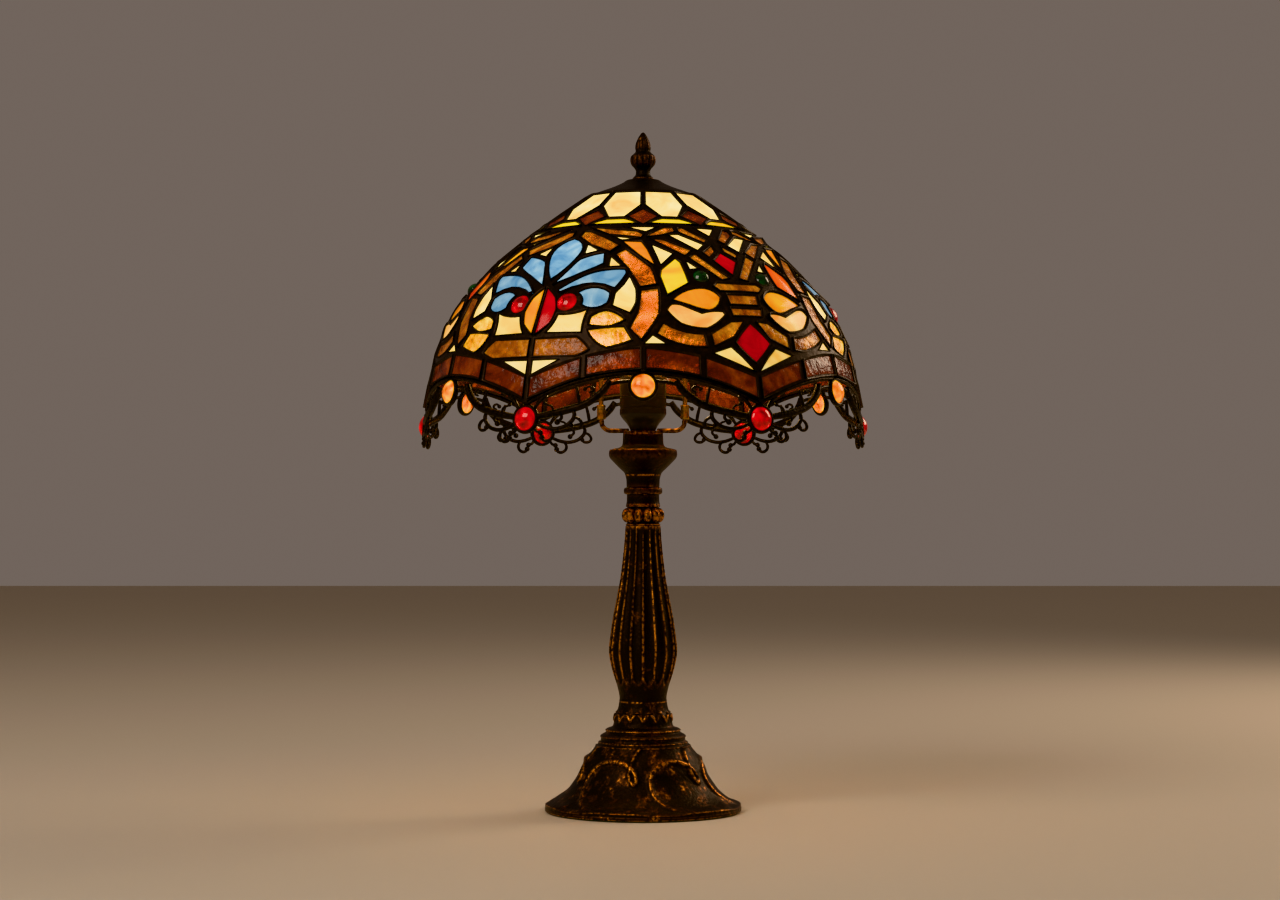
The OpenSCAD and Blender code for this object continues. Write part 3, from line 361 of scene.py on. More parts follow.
# Drawn brass: yellow metal, dulled unevenly, with a faint grain of about 1.5 mm
brass = material("drawn_brass")
coords = object_coords(brass)
lines, dull = rough_bump(brass, coords, 1.5, 0.02)
tone = ramp(brass, dull, [(0.35, "8a6428"), (0.65, "c79a4c")])
drawn_metal = add(brass, "BsdfPrincipled", {"Base Color": (tone, 0), "Normal": (lines, 0)},
                  Metallic=1.0, Roughness=0.32)
show(brass, drawn_metal)
for name in ("threaded_tube", "harp_stud", "cap_washer", "crown_ring", "socket_contact",
             "terminal_screws"):
    finish_node(name, brass)

# Brown PVC sleeve: soft sheen, faint extrusion ripple
sleeve = material("brown_pvc_sleeve")
coords = object_coords(sleeve)
ripple, cloud = rough_bump(sleeve, coords, 2, 0.05)
tone = ramp(sleeve, cloud, [(0.3, "2c1c12"), (0.7, "46301f")])
pvc = add(sleeve, "BsdfPrincipled", {"Base Color": (tone, 0), "Normal": (ripple, 0)}, Roughness=0.5)
finish_node("lead_wires", show(sleeve, pvc))

# ---- Fluted column ----
# A baluster casting with sixteen hollow flutes between thin ridges. The flutes end in rounded arches
# above the foot and run out under the beaded ring.

COLUMN_Z = BASE_Z + BASE_H
COLUMN_H = 123.5
FLUTES = 16
FLUTE_DEPTH = 1.7
TUBE_HOLE = 5.2
COLUMN_SIDE = [
    (16.8, 0), (16.8, 0), (16.6, 0.03), (18.2, 0.09), (20.6, 0.15), (22.6, 0.21), (23.8, 0.265),
    (23.9, 0.31), (23.3, 0.355), (21.4, 0.465), (18.7, 0.58), (16.1, 0.695), (14.3, 0.81),
    (12.9, 0.925), (12.4, 1), (12.4, 1),
]


def bored(profile):
    """Closes a profile, given from its top down or its foot up, along the hole for the tube."""
    start, end = (TUBE_HOLE, profile[0][1]), (TUBE_HOLE, profile[-1][1])
    return [start] + profile + [end, start]


side = [(r, COLUMN_Z + z * COLUMN_H) for r, z in drawn(COLUMN_SIDE, 6)]
column = turned(bored(side), FLUTES * 14)
for v in column.verts:
    r = v.co.xy.length / MM
    if r < 8:
        continue
    up = (v.co.z / MM - COLUMN_Z) / COLUMN_H
    across = abs((turn_of(v.co) * FLUTES) % 1.0 - 0.5) * 2  # 0 in the middle of a flute, 1 on a ridge
    foot = 0.1 + 0.035 * across ** 2
    ends = min(max((up - foot) / 0.03, 0), 1) * min(max((0.985 - up) / 0.02, 0), 1)
    hollow = max(1 - (across / 0.86) ** 2, 0) ** 0.5
    ridge = 0.35 * max(0, (across - 0.8) / 0.2)
    v.co.xy *= (r - ends * (FLUTE_DEPTH * hollow * r / 20 + 0.35 - ridge)) / r
piece(column, "fluted_column", bronze, "stand", "bronze", "column", sharp=60)

# ---- Beaded ring and neck ----
# A ring of twelve oval beads between two short lips, and over it a plain neck with one raised band.
# Each is a casting of its own, threaded on the tube.

BEAD_Z = COLUMN_Z + COLUMN_H
BEAD_H = 15
BEADS = 12
ring = turned(bored(drawn([(11.6, BEAD_Z), (11.6, BEAD_Z), (12.2, BEAD_Z + 1.2), (11, BEAD_Z + 2.4),
                           (11, BEAD_Z + 7.5), (11, BEAD_Z + 12.6), (12.2, BEAD_Z + 13.8),
                           (11.6, BEAD_Z + BEAD_H), (11.6, BEAD_Z + BEAD_H)])))
for i in range(BEADS):
    turn = Matrix.Rotation(tau * (i + 0.5) / BEADS, 4, "Z")
    shape = Matrix.Diagonal((3.9 * MM, 3.1 * MM, 5.1 * MM, 1))
    at = Matrix.Translation((11.5 * MM, 0, (BEAD_Z + BEAD_H / 2) * MM))
    bmesh.ops.create_uvsphere(ring, u_segments=20, v_segments=14, radius=1, matrix=turn @ at @ shape)
bmesh.ops.recalc_face_normals(ring, faces=ring.faces)
piece(ring, "beaded_ring", bronze, "stand", "bronze", "bead_ring")

NECK_Z = BEAD_Z + BEAD_H
NECK_H = 21
neck_side = [(12, 0), (12, 0), (11.5, 0.1), (11.4, 0.3), (11.5, 0.34), (13.1, 0.37), (13.6, 0.46),
             (13.1, 0.55), (11.5, 0.58), (11.6, 0.62), (11.8, 0.85), (12.6, 1), (12.6, 1)]
neck = turned(bored([(r, NECK_Z + z * NECK_H) for r, z in drawn(neck_side)]))
piece(neck, "neck", bronze, "stand", "bronze", "neck")

# ---- Drip collar ----
# The wide cast cup at the top of the stem, with a thin lip, and a stepped cone on it that carries the
# harp saddle.

COLLAR_Z = NECK_Z + NECK_H
COLLAR_H = 29.5
collar_side = [
    (12.6, 0), (12.6, 0), (13.4, 0.06), (16.5, 0.16), (20, 0.28), (23, 0.39), (24, 0.46), (24, 0.54),
    (23.4, 0.6), (22.2, 0.6), (21.2, 0.62), (17, 0.65), (14.9, 0.7), (14.4, 0.76), (14.2, 0.86),
    (14, 1), (14, 1),
]
collar = turned(bored([(r, COLLAR_Z + z * COLLAR_H) for r, z in drawn(collar_side)]))
piece(collar, "drip_collar", bronze, "stand", "bronze", "drip_collar")

# ---- Harp saddle, harp and ferrules ----
# A bent wire saddle under the socket takes the feet of the harp, a bow of thick wire that carries the
# shade. Two sliding ferrules lock the feet on the saddle's posts.

SADDLE_Z = COLLAR_Z + COLLAR_H
WIRE_R = 1.6
LEG_X = 29.6
JOINT_Z = 281
HARP_TOP = 434.8
WASHER_Z = 440.8


def rods(strokes, sides=2):
    """Round rods through the points of each stroke, (points in mm, radius in mm), as one bmesh.
    A point may carry a fourth number, its share of the radius."""
    curve = bpy.data.curves.new("rods", "CURVE")
    curve.dimensions = "3D"
    curve.bevel_resolution = sides
    curve.use_fill_caps = True
    curve.resolution_u = 5
    curve.bevel_depth = MM
    for points, radius in strokes:
        line = curve.splines.new("BEZIER")
        line.bezier_points.add(len(points) - 1)
        for knot, p in zip(line.bezier_points, points):
            knot.co = Vector(p[:3]) * MM
            knot.radius = radius * (p[3] if len(p) > 3 else 1)
            knot.handle_left_type = knot.handle_right_type = "AUTO"
    holder = bpy.data.objects.new("rods", curve)
    bpy.context.scene.collection.objects.link(holder)
    seen = holder.evaluated_get(bpy.context.evaluated_depsgraph_get())
    mesh = bpy.data.meshes.new_from_object(seen)
    bpy.data.objects.remove(holder)
    bm = bmesh.new()
    bm.from_mesh(mesh)
    bpy.data.meshes.remove(mesh)
    bmesh.ops.remove_doubles(bm, verts=bm.verts, dist=1e-6)
    bmesh.ops.recalc_face_normals(bm, faces=bm.faces)
    return bm


def both_sides(points):
    """A line on the right and its mirror image on the left."""
    return [points, [(-p[0], *p[1:]) for p in points]]


def arc(cx, cz, r, start, end, steps):
    """Points after the start of an arc in the plane of the harp, angles in degrees."""
    turns = [radians(start + (end - start) * k / steps) for k in range(1, steps + 1)]
    return [(cx + r * cos(a), 0, cz + r * sin(a)) for a in turns]


saddle_z = SADDLE_Z + 1.7
arm = [(10, 0, saddle_z), (18, 0, saddle_z), (LEG_X - 7, 0, saddle_z)]
arm += arc(LEG_X - 7, saddle_z + 7, 7, -90, 0, 4) + [(LEG_X, 0, 274), (LEG_X, 0, JOINT_Z)]
saddle = rods([(line, WIRE_R) for line in both_sides(arm)], 5)
plate = turned(bored([(12.2, SADDLE_Z), (12.6, SADDLE_Z + 0.3), (12.6, SADDLE_Z + 1.1),
                      (12.2, SADDLE_Z + 1.4)]))


def join(bm, other):
    """Adds another bmesh's parts to bm and frees the other."""
    mesh = bpy.data.meshes.new("joined")
    other.to_mesh(mesh)
    other.free()
    bm.from_mesh(mesh)
    bpy.data.meshes.remove(mesh)
    return bm


dark_brass = antique_bronze("darkened_brass", 0.0, "241608", "9a6a34")
piece(join(saddle, plate), "harp_saddle_wire", dark_brass, "stand", "brass", "harp_saddle")

BOW_OUT_R, BOW_OUT_A = 60, 22
BOW_IN_R, BOW_IN_A = 110, 25
SHOULDER_R = 28
out_s, out_c = sin(radians(BOW_OUT_A)), cos(radians(BOW_OUT_A))
in_s, in_c = sin(radians(BOW_IN_A)), cos(radians(BOW_IN_A))
bow_z = HARP_TOP - BOW_OUT_R * out_s - BOW_IN_R * (out_s + in_s) - SHOULDER_R * (1 - in_s)
x2 = LEG_X + BOW_OUT_R * (1 - out_c) - BOW_IN_R * out_c
z2 = bow_z + (BOW_OUT_R + BOW_IN_R) * out_s
x3 = x2 + (BOW_IN_R - SHOULDER_R) * in_c
z3 = z2 + (BOW_IN_R - SHOULDER_R) * in_s
bow = [(LEG_X, 0, JOINT_Z), (LEG_X, 0, bow_z - 8), (LEG_X, 0, bow_z)]
bow += arc(LEG_X + BOW_OUT_R, bow_z, BOW_OUT_R, 180, 180 - BOW_OUT_A, 3)
bow += arc(x2, z2, BOW_IN_R, -BOW_OUT_A, BOW_IN_A, 6) + arc(x3, z3, SHOULDER_R, BOW_IN_A, 90, 4)
bow += [(4.5, 0, HARP_TOP)]
harp = rods([(line, WIRE_R) for line in both_sides(bow)], 5)
boss = turned([(3.15, HARP_TOP - 3), (5.4, HARP_TOP - 3), (6, HARP_TOP - 2.4), (6, WASHER_Z - 0.6),
               (5.4, WASHER_Z), (3.15, WASHER_Z), (3.15, HARP_TOP - 3)])
piece(join(harp, boss), "harp_bow", brass, "stand", "brass", "harp")

for way, body in ((-1, "left_ferrule"), (1, "right_ferrule")):
    low = JOINT_Z - 5
    ferrule = turned([(1.75, low), (2.9, low), (3.15, low + 0.4), (3.0, low + 1.6), (2.85, low + 2.2),
                      (2.85, low + 7.8), (3.0, low + 8.4), (3.15, low + 9.6), (2.9, low + 10),
                      (1.75, low + 10), (1.75, low)], 32)
    bmesh.ops.translate(ferrule, verts=ferrule.verts, vec=(way * LEG_X * MM, 0, 0))
    side_name = body.split("_")[0]
    piece(ferrule, f"{side_name}_ferrule_sleeve", brass, body, "brass", f"ferrule_{side_name}")

# ---- Socket ----
# A black phenolic socket: a dished cap screwed on the tube, and a ribbed shell that holds a porcelain
# core, a brass screw shell and the centre contact.

SOCKET_Z = SADDLE_Z + 1.4
cap = turned(bored(drawn([
    (8.6, SOCKET_Z), (8.6, SOCKET_Z), (9.4, SOCKET_Z + 2), (11.6, SOCKET_Z + 5.5),
    (14.6, SOCKET_Z + 9), (16.2, SOCKET_Z + 11.6), (16.4, SOCKET_Z + 12.4), (16.4, SOCKET_Z + 14),
    (16.4, SOCKET_Z + 14), (14.8, SOCKET_Z + 14), (14.8, SOCKET_Z + 14), (14.8, SOCKET_Z + 12.4),
    (13.6, SOCKET_Z + 10.2), (10.6, SOCKET_Z + 7.4), (8.4, SOCKET_Z + 5), (8.4, SOCKET_Z + 5)])))
piece(cap, "socket_cap_dish", phenolic, "stand", "socket_black", "socket_cap")

SHELL_Z = SOCKET_Z + 14
shell_side = [(14.8, 0), (16.4, 0), (16.4, 1.6), (16.0, 1.9), (16.0, 2.9), (16.4, 3.2), (16.4, 9.6),
              (16.0, 9.9), (16.0, 10.9), (16.4, 11.2), (16.4, 22.8), (16.1, 23.7), (15.4, 24),
              (14.8, 23.6), (14.8, 0)]
shell = turned([(r, SHELL_Z + z) for r, z in shell_side])
piece(shell, "socket_shell_ribbed", phenolic, "stand", "socket_black", "socket_shell", sharp=25)

# Glazed porcelain: white, glossy, a hint of unevenness in the glaze
porcelain = material("glazed_porcelain")
coords = object_coords(porcelain)
glaze, cloud = rough_bump(porcelain, coords, 6, 0.05)
tone = ramp(porcelain, cloud, [(0.3, "e6e0d4"), (0.7, "f2efe8")])
fired = add(porcelain, "BsdfPrincipled", {"Base Color": (tone, 0), "Normal": (glaze, 0)},
            Roughness=0.14)
finish_node("socket_core", show(porcelain, fired))

CORE_TOP = SHELL_Z + 8
thread = [(13.3 + 0.25 * cos(k * pi), CORE_TOP + 0.6 + k * 0.85) for k in range(17)]
screw = turned([(8, CORE_TOP), (13.8, CORE_TOP)] + [(r + 0.5, z) for r, z in thread]
               + [(r, z) for r, z in thread[::-1]] + [(8, CORE_TOP + 0.6), (8, CORE_TOP)])
piece(screw, "screw_shell_rolled", brass, "stand", "brass", "socket_screw_shell", sharp=80)

# ---- Bulb ----
# A frosted glass bulb on a nickel-plated screw base with a black glass insulator. It is lit; the glow of
# the shade's glass round it is painted on as emission.

BULB_Z = CORE_TOP + 2.4
GLASS_Z = BULB_Z + 20
BULB_MID = Vector((0, 0, (BULB_Z + 68) * MM))
nickel = material("nickel_plated_shell")
coords = object_coords(nickel)
polish, haze = rough_bump(nickel, coords, 3, 0.01)
tone = ramp(nickel, haze, [(0.3, "a9a59c"), (0.7, "cfccc4")])
plated = add(nickel, "BsdfPrincipled", {"Base Color": (tone, 0), "Normal": (polish, 0)},
             Metallic=1.0, Roughness=0.2)
show(nickel, plated)
for name in ("bulb_base", "bulb_contact"):
    finish_node(name, nickel)
finish_node("bulb_insulator", phenolic)

# Frosted soda glass, lit from inside: warm white, even over the round of the bulb, dimmer at its neck
frosted = material("frosted_bulb_glass")
coords = object_coords(frosted)
height = add(frosted, "SeparateXYZ", {"Vector": (coords, 0)})
level = add(frosted, "MapRange", {"Value": (height, "Z")}, From_Min=GLASS_Z * MM,
            From_Max=(GLASS_Z + 30) * MM, To_Min=4.0, To_Max=18.0)
lit = add(frosted, "BsdfPrincipled", {"Emission Strength": (level, 0)}, Base_Color=srgb("fff4e2"),
          Roughness=0.5, Emission_Color=srgb("ffd29a"))
show(frosted, lit)
bulb_side = [(0, 0), (0, 0), (12.2, 0), (12.2, 0), (12.3, 4.2), (13.6, 5), (14.2, 12), (17.4, 20.2),
             (22.2, 28.8), (27.3, 38.4), (29.8, 45), (29.6, 53), (26, 63), (18, 72), (9, 76.6),
             (0, 78), (0, 78)]
bulb = turned([(r, GLASS_Z + z) for r, z in drawn(bulb_side, 3)], 48)
piece(bulb, "bulb_envelope_frosted", frosted, "bulb", "bulb_envelope", "bulb_glass")

# ---- Panes of art glass ----
# Each pane is cut from a hand-rolled sheet about 3 mm thick, its edge ground soft and wrapped in copper
# foil. Their glow is painted on as emission, brightest near the bulb and fading with distance from it.

SHADE_MID = Vector((0, 0, 290 * MM))
random = Random(11)
solder = {}
PANE_EDGE = 1.3 * MM
PANE_SWELL = 0.45 * MM
PAINTED_GLOW_NEAR, PAINTED_GLOW_FAR = 0.09, 0.175  # metres from the bulb between which the glow fades


def outwards(face):
    """How far a face looks away from the inside of the shade, from -1 to 1."""
    return face.normal.dot((face.calc_center_median() - SHADE_MID).normalized())


def whole_panes(node):
    """The panes of a CAD node with each flat face whole, split into outer and inner faces."""
    bm = bmesh.new()
    bm.from_mesh(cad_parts[node].data)
    bm.faces.layers.float.new("pane")
    bmesh.ops.remove_doubles(bm, verts=bm.verts, dist=2e-6)
    bmesh.ops.dissolve_limit(bm, angle_limit=radians(1), verts=bm.verts, edges=bm.edges,
                             delimit={"NORMAL"})
    bm.normal_update()
    outer = [f for f in bm.faces if outwards(f) > 0.6]
    inner = [f for f in bm.faces if outwards(f) < -0.6]
    return bm, outer, inner


def glass_panes(node, name, mat, slot, group, keep=None):
    """The panes of a CAD node, pillowed. keep picks some of them by their outer face's middle."""
    bm, outer, inner = whole_panes(node)
    shade = bm.faces.layers.float["pane"]
    for face in outer:
        reach, found = [face], {face}
        while reach:
            for edge in reach.pop().edges:
                for near in edge.link_faces:
                    if near not in found:
                        found.add(near)
                        reach.append(near)
        value = random.random()
        drop = keep is not None and not keep(face.calc_center_median())
        for f in found:
            f[shade] = -1 if drop else value
    if keep is not None:
        bmesh.ops.delete(bm, geom=[f for f in bm.faces if f[shade] < 0], context="FACES")
        outer, inner = [f for f in outer if f.is_valid], [f for f in inner if f.is_valid]
    solder.setdefault(group, []).extend(
        [[v.co.copy() for v in f.verts] for f in outer + inner])
    for faces in (outer, inner):
        bmesh.ops.inset_individual(bm, faces=faces, thickness=PANE_EDGE, depth=PANE_SWELL,
                                   use_even_offset=True)
    piece(bm, name, mat, "shade", slot, node, sharp=35)


def art_glass(name, stops, painted_glow, wisp_mm=30, clear=0.0, ripple_mm=0.0, rough=0.16):
    """Art glass with a painted glow. stops are its colours from streak to streak, painted_glow the
    brightness of the painted glow at the bulb, clear the share of light that passes straight through,
    ripple_mm the spacing of its ripples, which also break the painted glow into painted glints."""
    mat = material(name)
    mat.cycles.emission_sampling = "NONE"
    coords = object_coords(mat)
    own = add(mat, "Attribute", attribute_name="pane")
    shift = add(mat, "VectorMath", {0: (own, "Fac")}, operation="SCALE", Scale=0.9)
    place = add(mat, "VectorMath", {0: (coords, 0), 1: (shift, 0)}, operation="ADD")
    wisp = add(mat, "TexNoise", {"Vector": (place, 0)}, Scale=1 / (wisp_mm * MM), Detail=4.0,
               Distortion=1.2)
    tint = ramp(mat, wisp, stops)
    # Painted glow: emission strength, full within 9 cm of the bulb, falling to 0.42 of it by 17.5 cm,
    # varied from pane to pane
    far = add(mat, "VectorMath", {0: (coords, 0)}, operation="DISTANCE")
    far.inputs[1].default_value = BULB_MID
    near = add(mat, "MapRange", {"Value": (far, "Value")}, From_Min=PAINTED_GLOW_NEAR, From_Max=PAINTED_GLOW_FAR,
               To_Min=1.0, To_Max=0.42)
    painted_glow_per_pane = add(mat, "MapRange", {"Value": (own, "Fac")}, To_Min=0.85 * painted_glow, To_Max=1.1 * painted_glow)
    level = add(mat, "Math", {0: (near, 0), 1: (painted_glow_per_pane, 0)}, operation="MULTIPLY")
    bumps, grain = rough_bump(mat, place, ripple_mm or 14, 0.9 if ripple_mm else 0.25,
                              2.0 if ripple_mm else 1.0)
    if ripple_mm:
        # Painted glints: the ripple grain makes the painted glow brighter and dimmer in streaks
        painted_ripple_glints = add(mat, "MapRange", {"Value": (grain, 0)}, From_Min=0.38, From_Max=0.68, To_Min=0.3,
                      To_Max=2.1)
        level = add(mat, "Math", {0: (level, 0), 1: (painted_ripple_glints, 0)}, operation="MULTIPLY")
    pane = add(mat, "BsdfPrincipled", {"Base Color": (tint, 0), "Emission Color": (tint, 0),
                                       "Emission Strength": (level, 0), "Normal": (bumps, 0)},
               Roughness=rough, IOR=1.5, Specular_IOR_Level=0.3, Transmission_Weight=clear)
    return show(mat, pane)


# Opalescent ivory: milky white with cream wisps, a glass that passes light but not shapes; here its glow is
# painted on
ivory = art_glass("opalescent_ivory_glass", [(0.3, "f0bc5c"), (0.5, "fbe08c"), (0.7, "fff0b4")], 1.25)
peach = art_glass("opalescent_peach_glass", [(0.3, "f0a04c"), (0.5, "f9c470"), (0.7, "fdde98")], 1.1)
# Pale blue opalescent: grey-blue, bluer in its streaks
blue = art_glass("opalescent_blue_glass", [(0.3, "5c96c4"), (0.5, "86b6d6"), (0.72, "b0d0e0")], 0.55, 18)
# Yellow and orange cathedral-opal glass: strong colour with deeper streaks
yellow = art_glass("yellow_art_glass", [(0.3, "f0a800"), (0.5, "f8cc10"), (0.7, "fce43c")], 0.95)
orange = art_glass("orange_art_glass", [(0.3, "d87000"), (0.5, "f29400"), (0.7, "fab818")], 0.85)
flame_red = art_glass("flame_red_art_glass", [(0.3, "c82400"), (0.5, "e85000"), (0.7, "f58c10")], 0.7)
# Red selenium glass: deep and clear-coloured, in deeper and paler streaks, the paler ones brighter in its
# painted glow
red = art_glass("selenium_red_glass", [(0.3, "98000c"), (0.5, "c00010"), (0.7, "dc0c1c")], 0.5, 24)
# Brown ripple glass: clear amber-brown sheet rolled with ripples about 3.6 mm apart, so that what is
# behind it breaks up into streaks; its painted glow is broken into painted glints along the ripples
ripple = art_glass("brown_ripple_glass", [(0.3, "6a2c06"), (0.5, "b0641c"), (0.7, "dc9a3c")], 0.4, 22,
                   clear=0.36, ripple_mm=3.6, rough=0.2)
dark_ripple = art_glass("red_brown_ripple_glass", [(0.3, "380c02"), (0.5, "70240a"), (0.7, "a84c14")],
                        0.22, 20, clear=0.3, ripple_mm=3.6, rough=0.2)
amber_ripple = art_glass("amber_ripple_glass", [(0.3, "c88418"), (0.5, "f0b838"), (0.7, "fce07c")], 0.8,
                         18, clear=0.45, ripple_mm=3.6, rough=0.2)

for node, name, mat, slot, group in (
    ("crown_hexagons", "crown_hexagon_panes", ivory, "glass_ivory", "crown"),
    ("crown_diamonds", "crown_diamond_panes", dark_ripple, "glass_ripple", "crown"),
    ("crown_yellow_panes", "crown_girdle_panes", yellow, "glass_yellow", "crown"),
    ("fan_petals", "fan_petal_panes", blue, "glass_blue", "fans"),
    ("fan_leaves_orange", "fan_leaf_left_panes", orange, "glass_orange", "fans"),
    ("fan_leaves_red", "fan_leaf_right_panes", red, "glass_red", "fans"),
    ("fan_grounds", "fan_ground_panes", ivory, "glass_ivory", "fans"),
    ("fan_side_leaves", "fan_side_leaf_panes", amber_ripple, "glass_ripple", "fans"),
    ("ribbons", "ribbon_panes", ripple, "glass_ripple", "ribbons"),
    ("amber_wedges", "amber_wedge_panes", orange, "glass_orange", "ribbons"),
    ("cross_diamonds", "cross_diamond_panes", red, "glass_red", "crosses"),
    ("cross_petals_orange", "cross_upper_petal_panes", orange, "glass_orange", "crosses"),
    ("cross_petals_peach", "cross_lower_petal_panes", peach, "glass_peach", "crosses"),
    ("cross_bars", "cross_bar_panes", ripple, "glass_ripple", "crosses"),
    ("cross_grounds", "cross_ground_panes", ivory, "glass_ivory", "crosses"),
    ("border_panes", "scalloped_border_panes", dark_ripple, "glass_ripple", "border"),
):
    glass_panes(node, name, mat, slot, group)


def right_of_cross(middle):
    """Whether a flame stands right of the axis of its cross, seen from outside."""
    return (turn_of(middle) - 1 / 12) % (1 / 3) < 1 / 6


glass_panes("cross_flames", "cross_flame_left_panes", yellow, "glass_yellow", "crosses",
            lambda middle: not right_of_cross(middle))
glass_panes("cross_flames", "cross_flame_right_panes", flame_red, "glass_yellow", "crosses",
            right_of_cross)

# ---- Came and solder ----
# The joints between the panes are flowed full of solder, which holds the shade together and stands as a
# rounded bead along each pane's edge on both faces. A dark patina is rubbed over all of it.

# Black patina on solder: almost black brown, satin, slightly lumpy every 4 mm, paler where rubbed
patina = material("patinated_solder")
coords = object_coords(patina)
lumps, cloud = rough_bump(patina, coords, 4, 0.35)
tone = ramp(patina, cloud, [(0.3, "120c08"), (0.6, "231812"), (0.8, "3c2a1c")])
leaded = add(patina, "BsdfPrincipled", {"Base Color": (tone, 0), "Normal": (lumps, 0)}, Metallic=0.7,
             Roughness=0.4)
show(patina, leaded)
for name in ("crown_came", "came_front_left", "came_right", "came_rear_left"):
    finish_node(name, patina)

# The back of a bead in mm from step to step, outwards over the pane's edge and up from the glass
BEAD_IN = 0.45
BEAD_STEPS = [(-0.35, 0.55), (-0.4, 0.45), (-0.55, 0.35), (-0.6, 0.1), (0, -1.8), (1.0, -0.3)]
for group, outlines in solder.items():
    bm = bmesh.new()
    faces = [bm.faces.new([bm.verts.new(co) for co in outline]) for outline in outlines]
    bm.normal_update()
    rim = bmesh.ops.inset_individual(bm, faces=faces, thickness=BEAD_IN * MM, depth=0)
    bmesh.ops.delete(bm, geom=rim["faces"], context="FACES")
    first = [list(face.edges) for face in faces]
    for inwards, up in BEAD_STEPS:
        bmesh.ops.inset_individual(bm, faces=faces, thickness=inwards * MM, depth=up * MM)
    last = [list(face.edges) for face in faces]
    bmesh.ops.delete(bm, geom=faces, context="FACES_ONLY")
    for start, end in zip(first, last):
        bmesh.ops.bridge_loops(bm, edges=start + end)
    bmesh.ops.recalc_face_normals(bm, faces=bm.faces)
    piece(bm, f"solder_beads_{group}", patina, "shade", "came", sharp=60)

# ---- Filigree skirt ----
# Six openwork castings soldered below the scalloped border: a rail along its edge, a heavy bar in an
# S under each half of an arch, and scrolls that end in beads. A bezel hangs at each point.

# The side of the dome: its start as (radius, height, slope), then arcs of (length, slope at the end)
CROWN = (36.4, 432.4, 33)
DOME_ARCS = [(60, 38), (50, 50), (50, 74.5), (52, 85)]
POINT_S, ARCH_S = 209, 188.3  # how far down the bezels at the points and at the arches lie
ARCH_A = 30
BAR_R = 1.4


def dome(s):
    """Radius, height and slope of the shade at s mm down its side from the crown."""
    r, z, a = CROWN
    for length, b in DOME_ARCS:
        last = (length, b) == DOME_ARCS[-1]
        c = a + (b - a) * (s if last else min(s, length)) / length
        bend = length / radians(b - a)
        r += bend * (sin(radians(c)) - sin(radians(a)))
        z -= bend * (cos(radians(a)) - cos(radians(c)))
        if last or s <= length:
            return r, z, radians(c)
        s, a = s - length, b


def at_dome(azimuth, s, *share):
    """A point on the shade at an azimuth in degrees and s mm down, and what follows it in a stroke."""
    r, z, _ = dome(s)
    return (r * sin(radians(azimuth)), -r * cos(radians(azimuth)), z, *share)


def on_dome(azimuth, s):
    """Places a piece drawn about the origin on the shade, its z pointing outwards."""
    r, z, slope = dome(s)
    return (Matrix.Rotation(radians(azimuth), 4, "Z") @ Matrix.Translation((0, -r * MM, z * MM))
            @ Matrix.Rotation(slope, 4, "X"))


# Scrolls on one side of a point: (radius in bars, [(azimuth from the point, mm down the shade)])
SCROLLS = [
    (1.0, [(2.4, 202), (3.6, 197.5), (5.5, 193.5)]),
    (1.8, [(3.4, 207.5), (8, 205.4), (12, 203), (15.5, 200), (18, 196), (20.3, 190.5), (21.8, 184.5)]),
    (0.9, [(13.3, 188.6), (14.0, 195), (14.4, 201)]),
    (0.9, [(27, 184.8), (24, 185.6), (20.8, 187.6)]),
    (0.95, [(12.4, 202.5), (13.1, 207), (12, 212), (9.5, 215.3), (6.5, 215.4), (3, 212.5)]),
    (0.75, [(8.4, 204.5), (9.8, 208), (8.9, 211.2)]),
    (0.8, [(6.9, 215.2), (7.7, 219.4), (6.8, 223), (5.2, 223.1), (4.8, 221.4)]),
    (0.75, [(2.6, 215), (3.2, 217.2), (4.1, 218)]),
    (0.75, [(12.9, 208), (14.6, 210.5), (14.9, 214), (13.2, 215.6), (12.2, 213.9)]),
    (0.6, [(5.4, 199.6), (7.2, 201.6), (7.4, 204.4)]),
    (0.6, [(16.6, 192.2), (17.8, 190.4), (16.9, 188.4), (15.4, 189.6)]),
]
# Beads that end the scrolls: (azimuth from the point, mm down the shade, radius)
BEAD_ENDS = [(8.7, 211.4, 1.9), (4.7, 221.3, 1.9), (4.3, 218.2, 1.8), (12.4, 213.8, 1.6),
             (15.6, 189.9, 1.5), (5.2, 199.2, 1.3)]
RAIL_R = 1.1 * BAR_R
RAIL_DROP = 2.77  # from the lower edge of the border to the middle of the rail


def border_foot(t):
    """The lower edge of the border, t from an arch (0) to a point (1), in mm down the shade."""
    return 176.5 + 19.5 * t * t


rail = [(ARCH_A * (1 - k / 10) if k else 29.5, border_foot(k / 10) + RAIL_DROP) for k in range(11)]
strokes, beads = [], []
for unit in range(6):
    point = 60 * unit - ARCH_A
    for way in (-1, 1):
        for width, line in SCROLLS:
            ends = [0.8] + [1.0] * (len(line) - 2) + [0.85]
            strokes.append(([at_dome(point + way * a, s, share) for (a, s), share in zip(line, ends)],
                            width * BAR_R))
        strokes.append(([at_dome(point + way * a, s) for a, s in rail], RAIL_R))
        beads += [(at_dome(point + way * a, s), r) for a, s, r in BEAD_ENDS]
skirt = rods(strokes)
for place, r in beads:
    bmesh.ops.create_uvsphere(skirt, u_segments=12, v_segments=8, radius=r * MM,
                              matrix=Matrix.Translation(Vector(place) * MM))

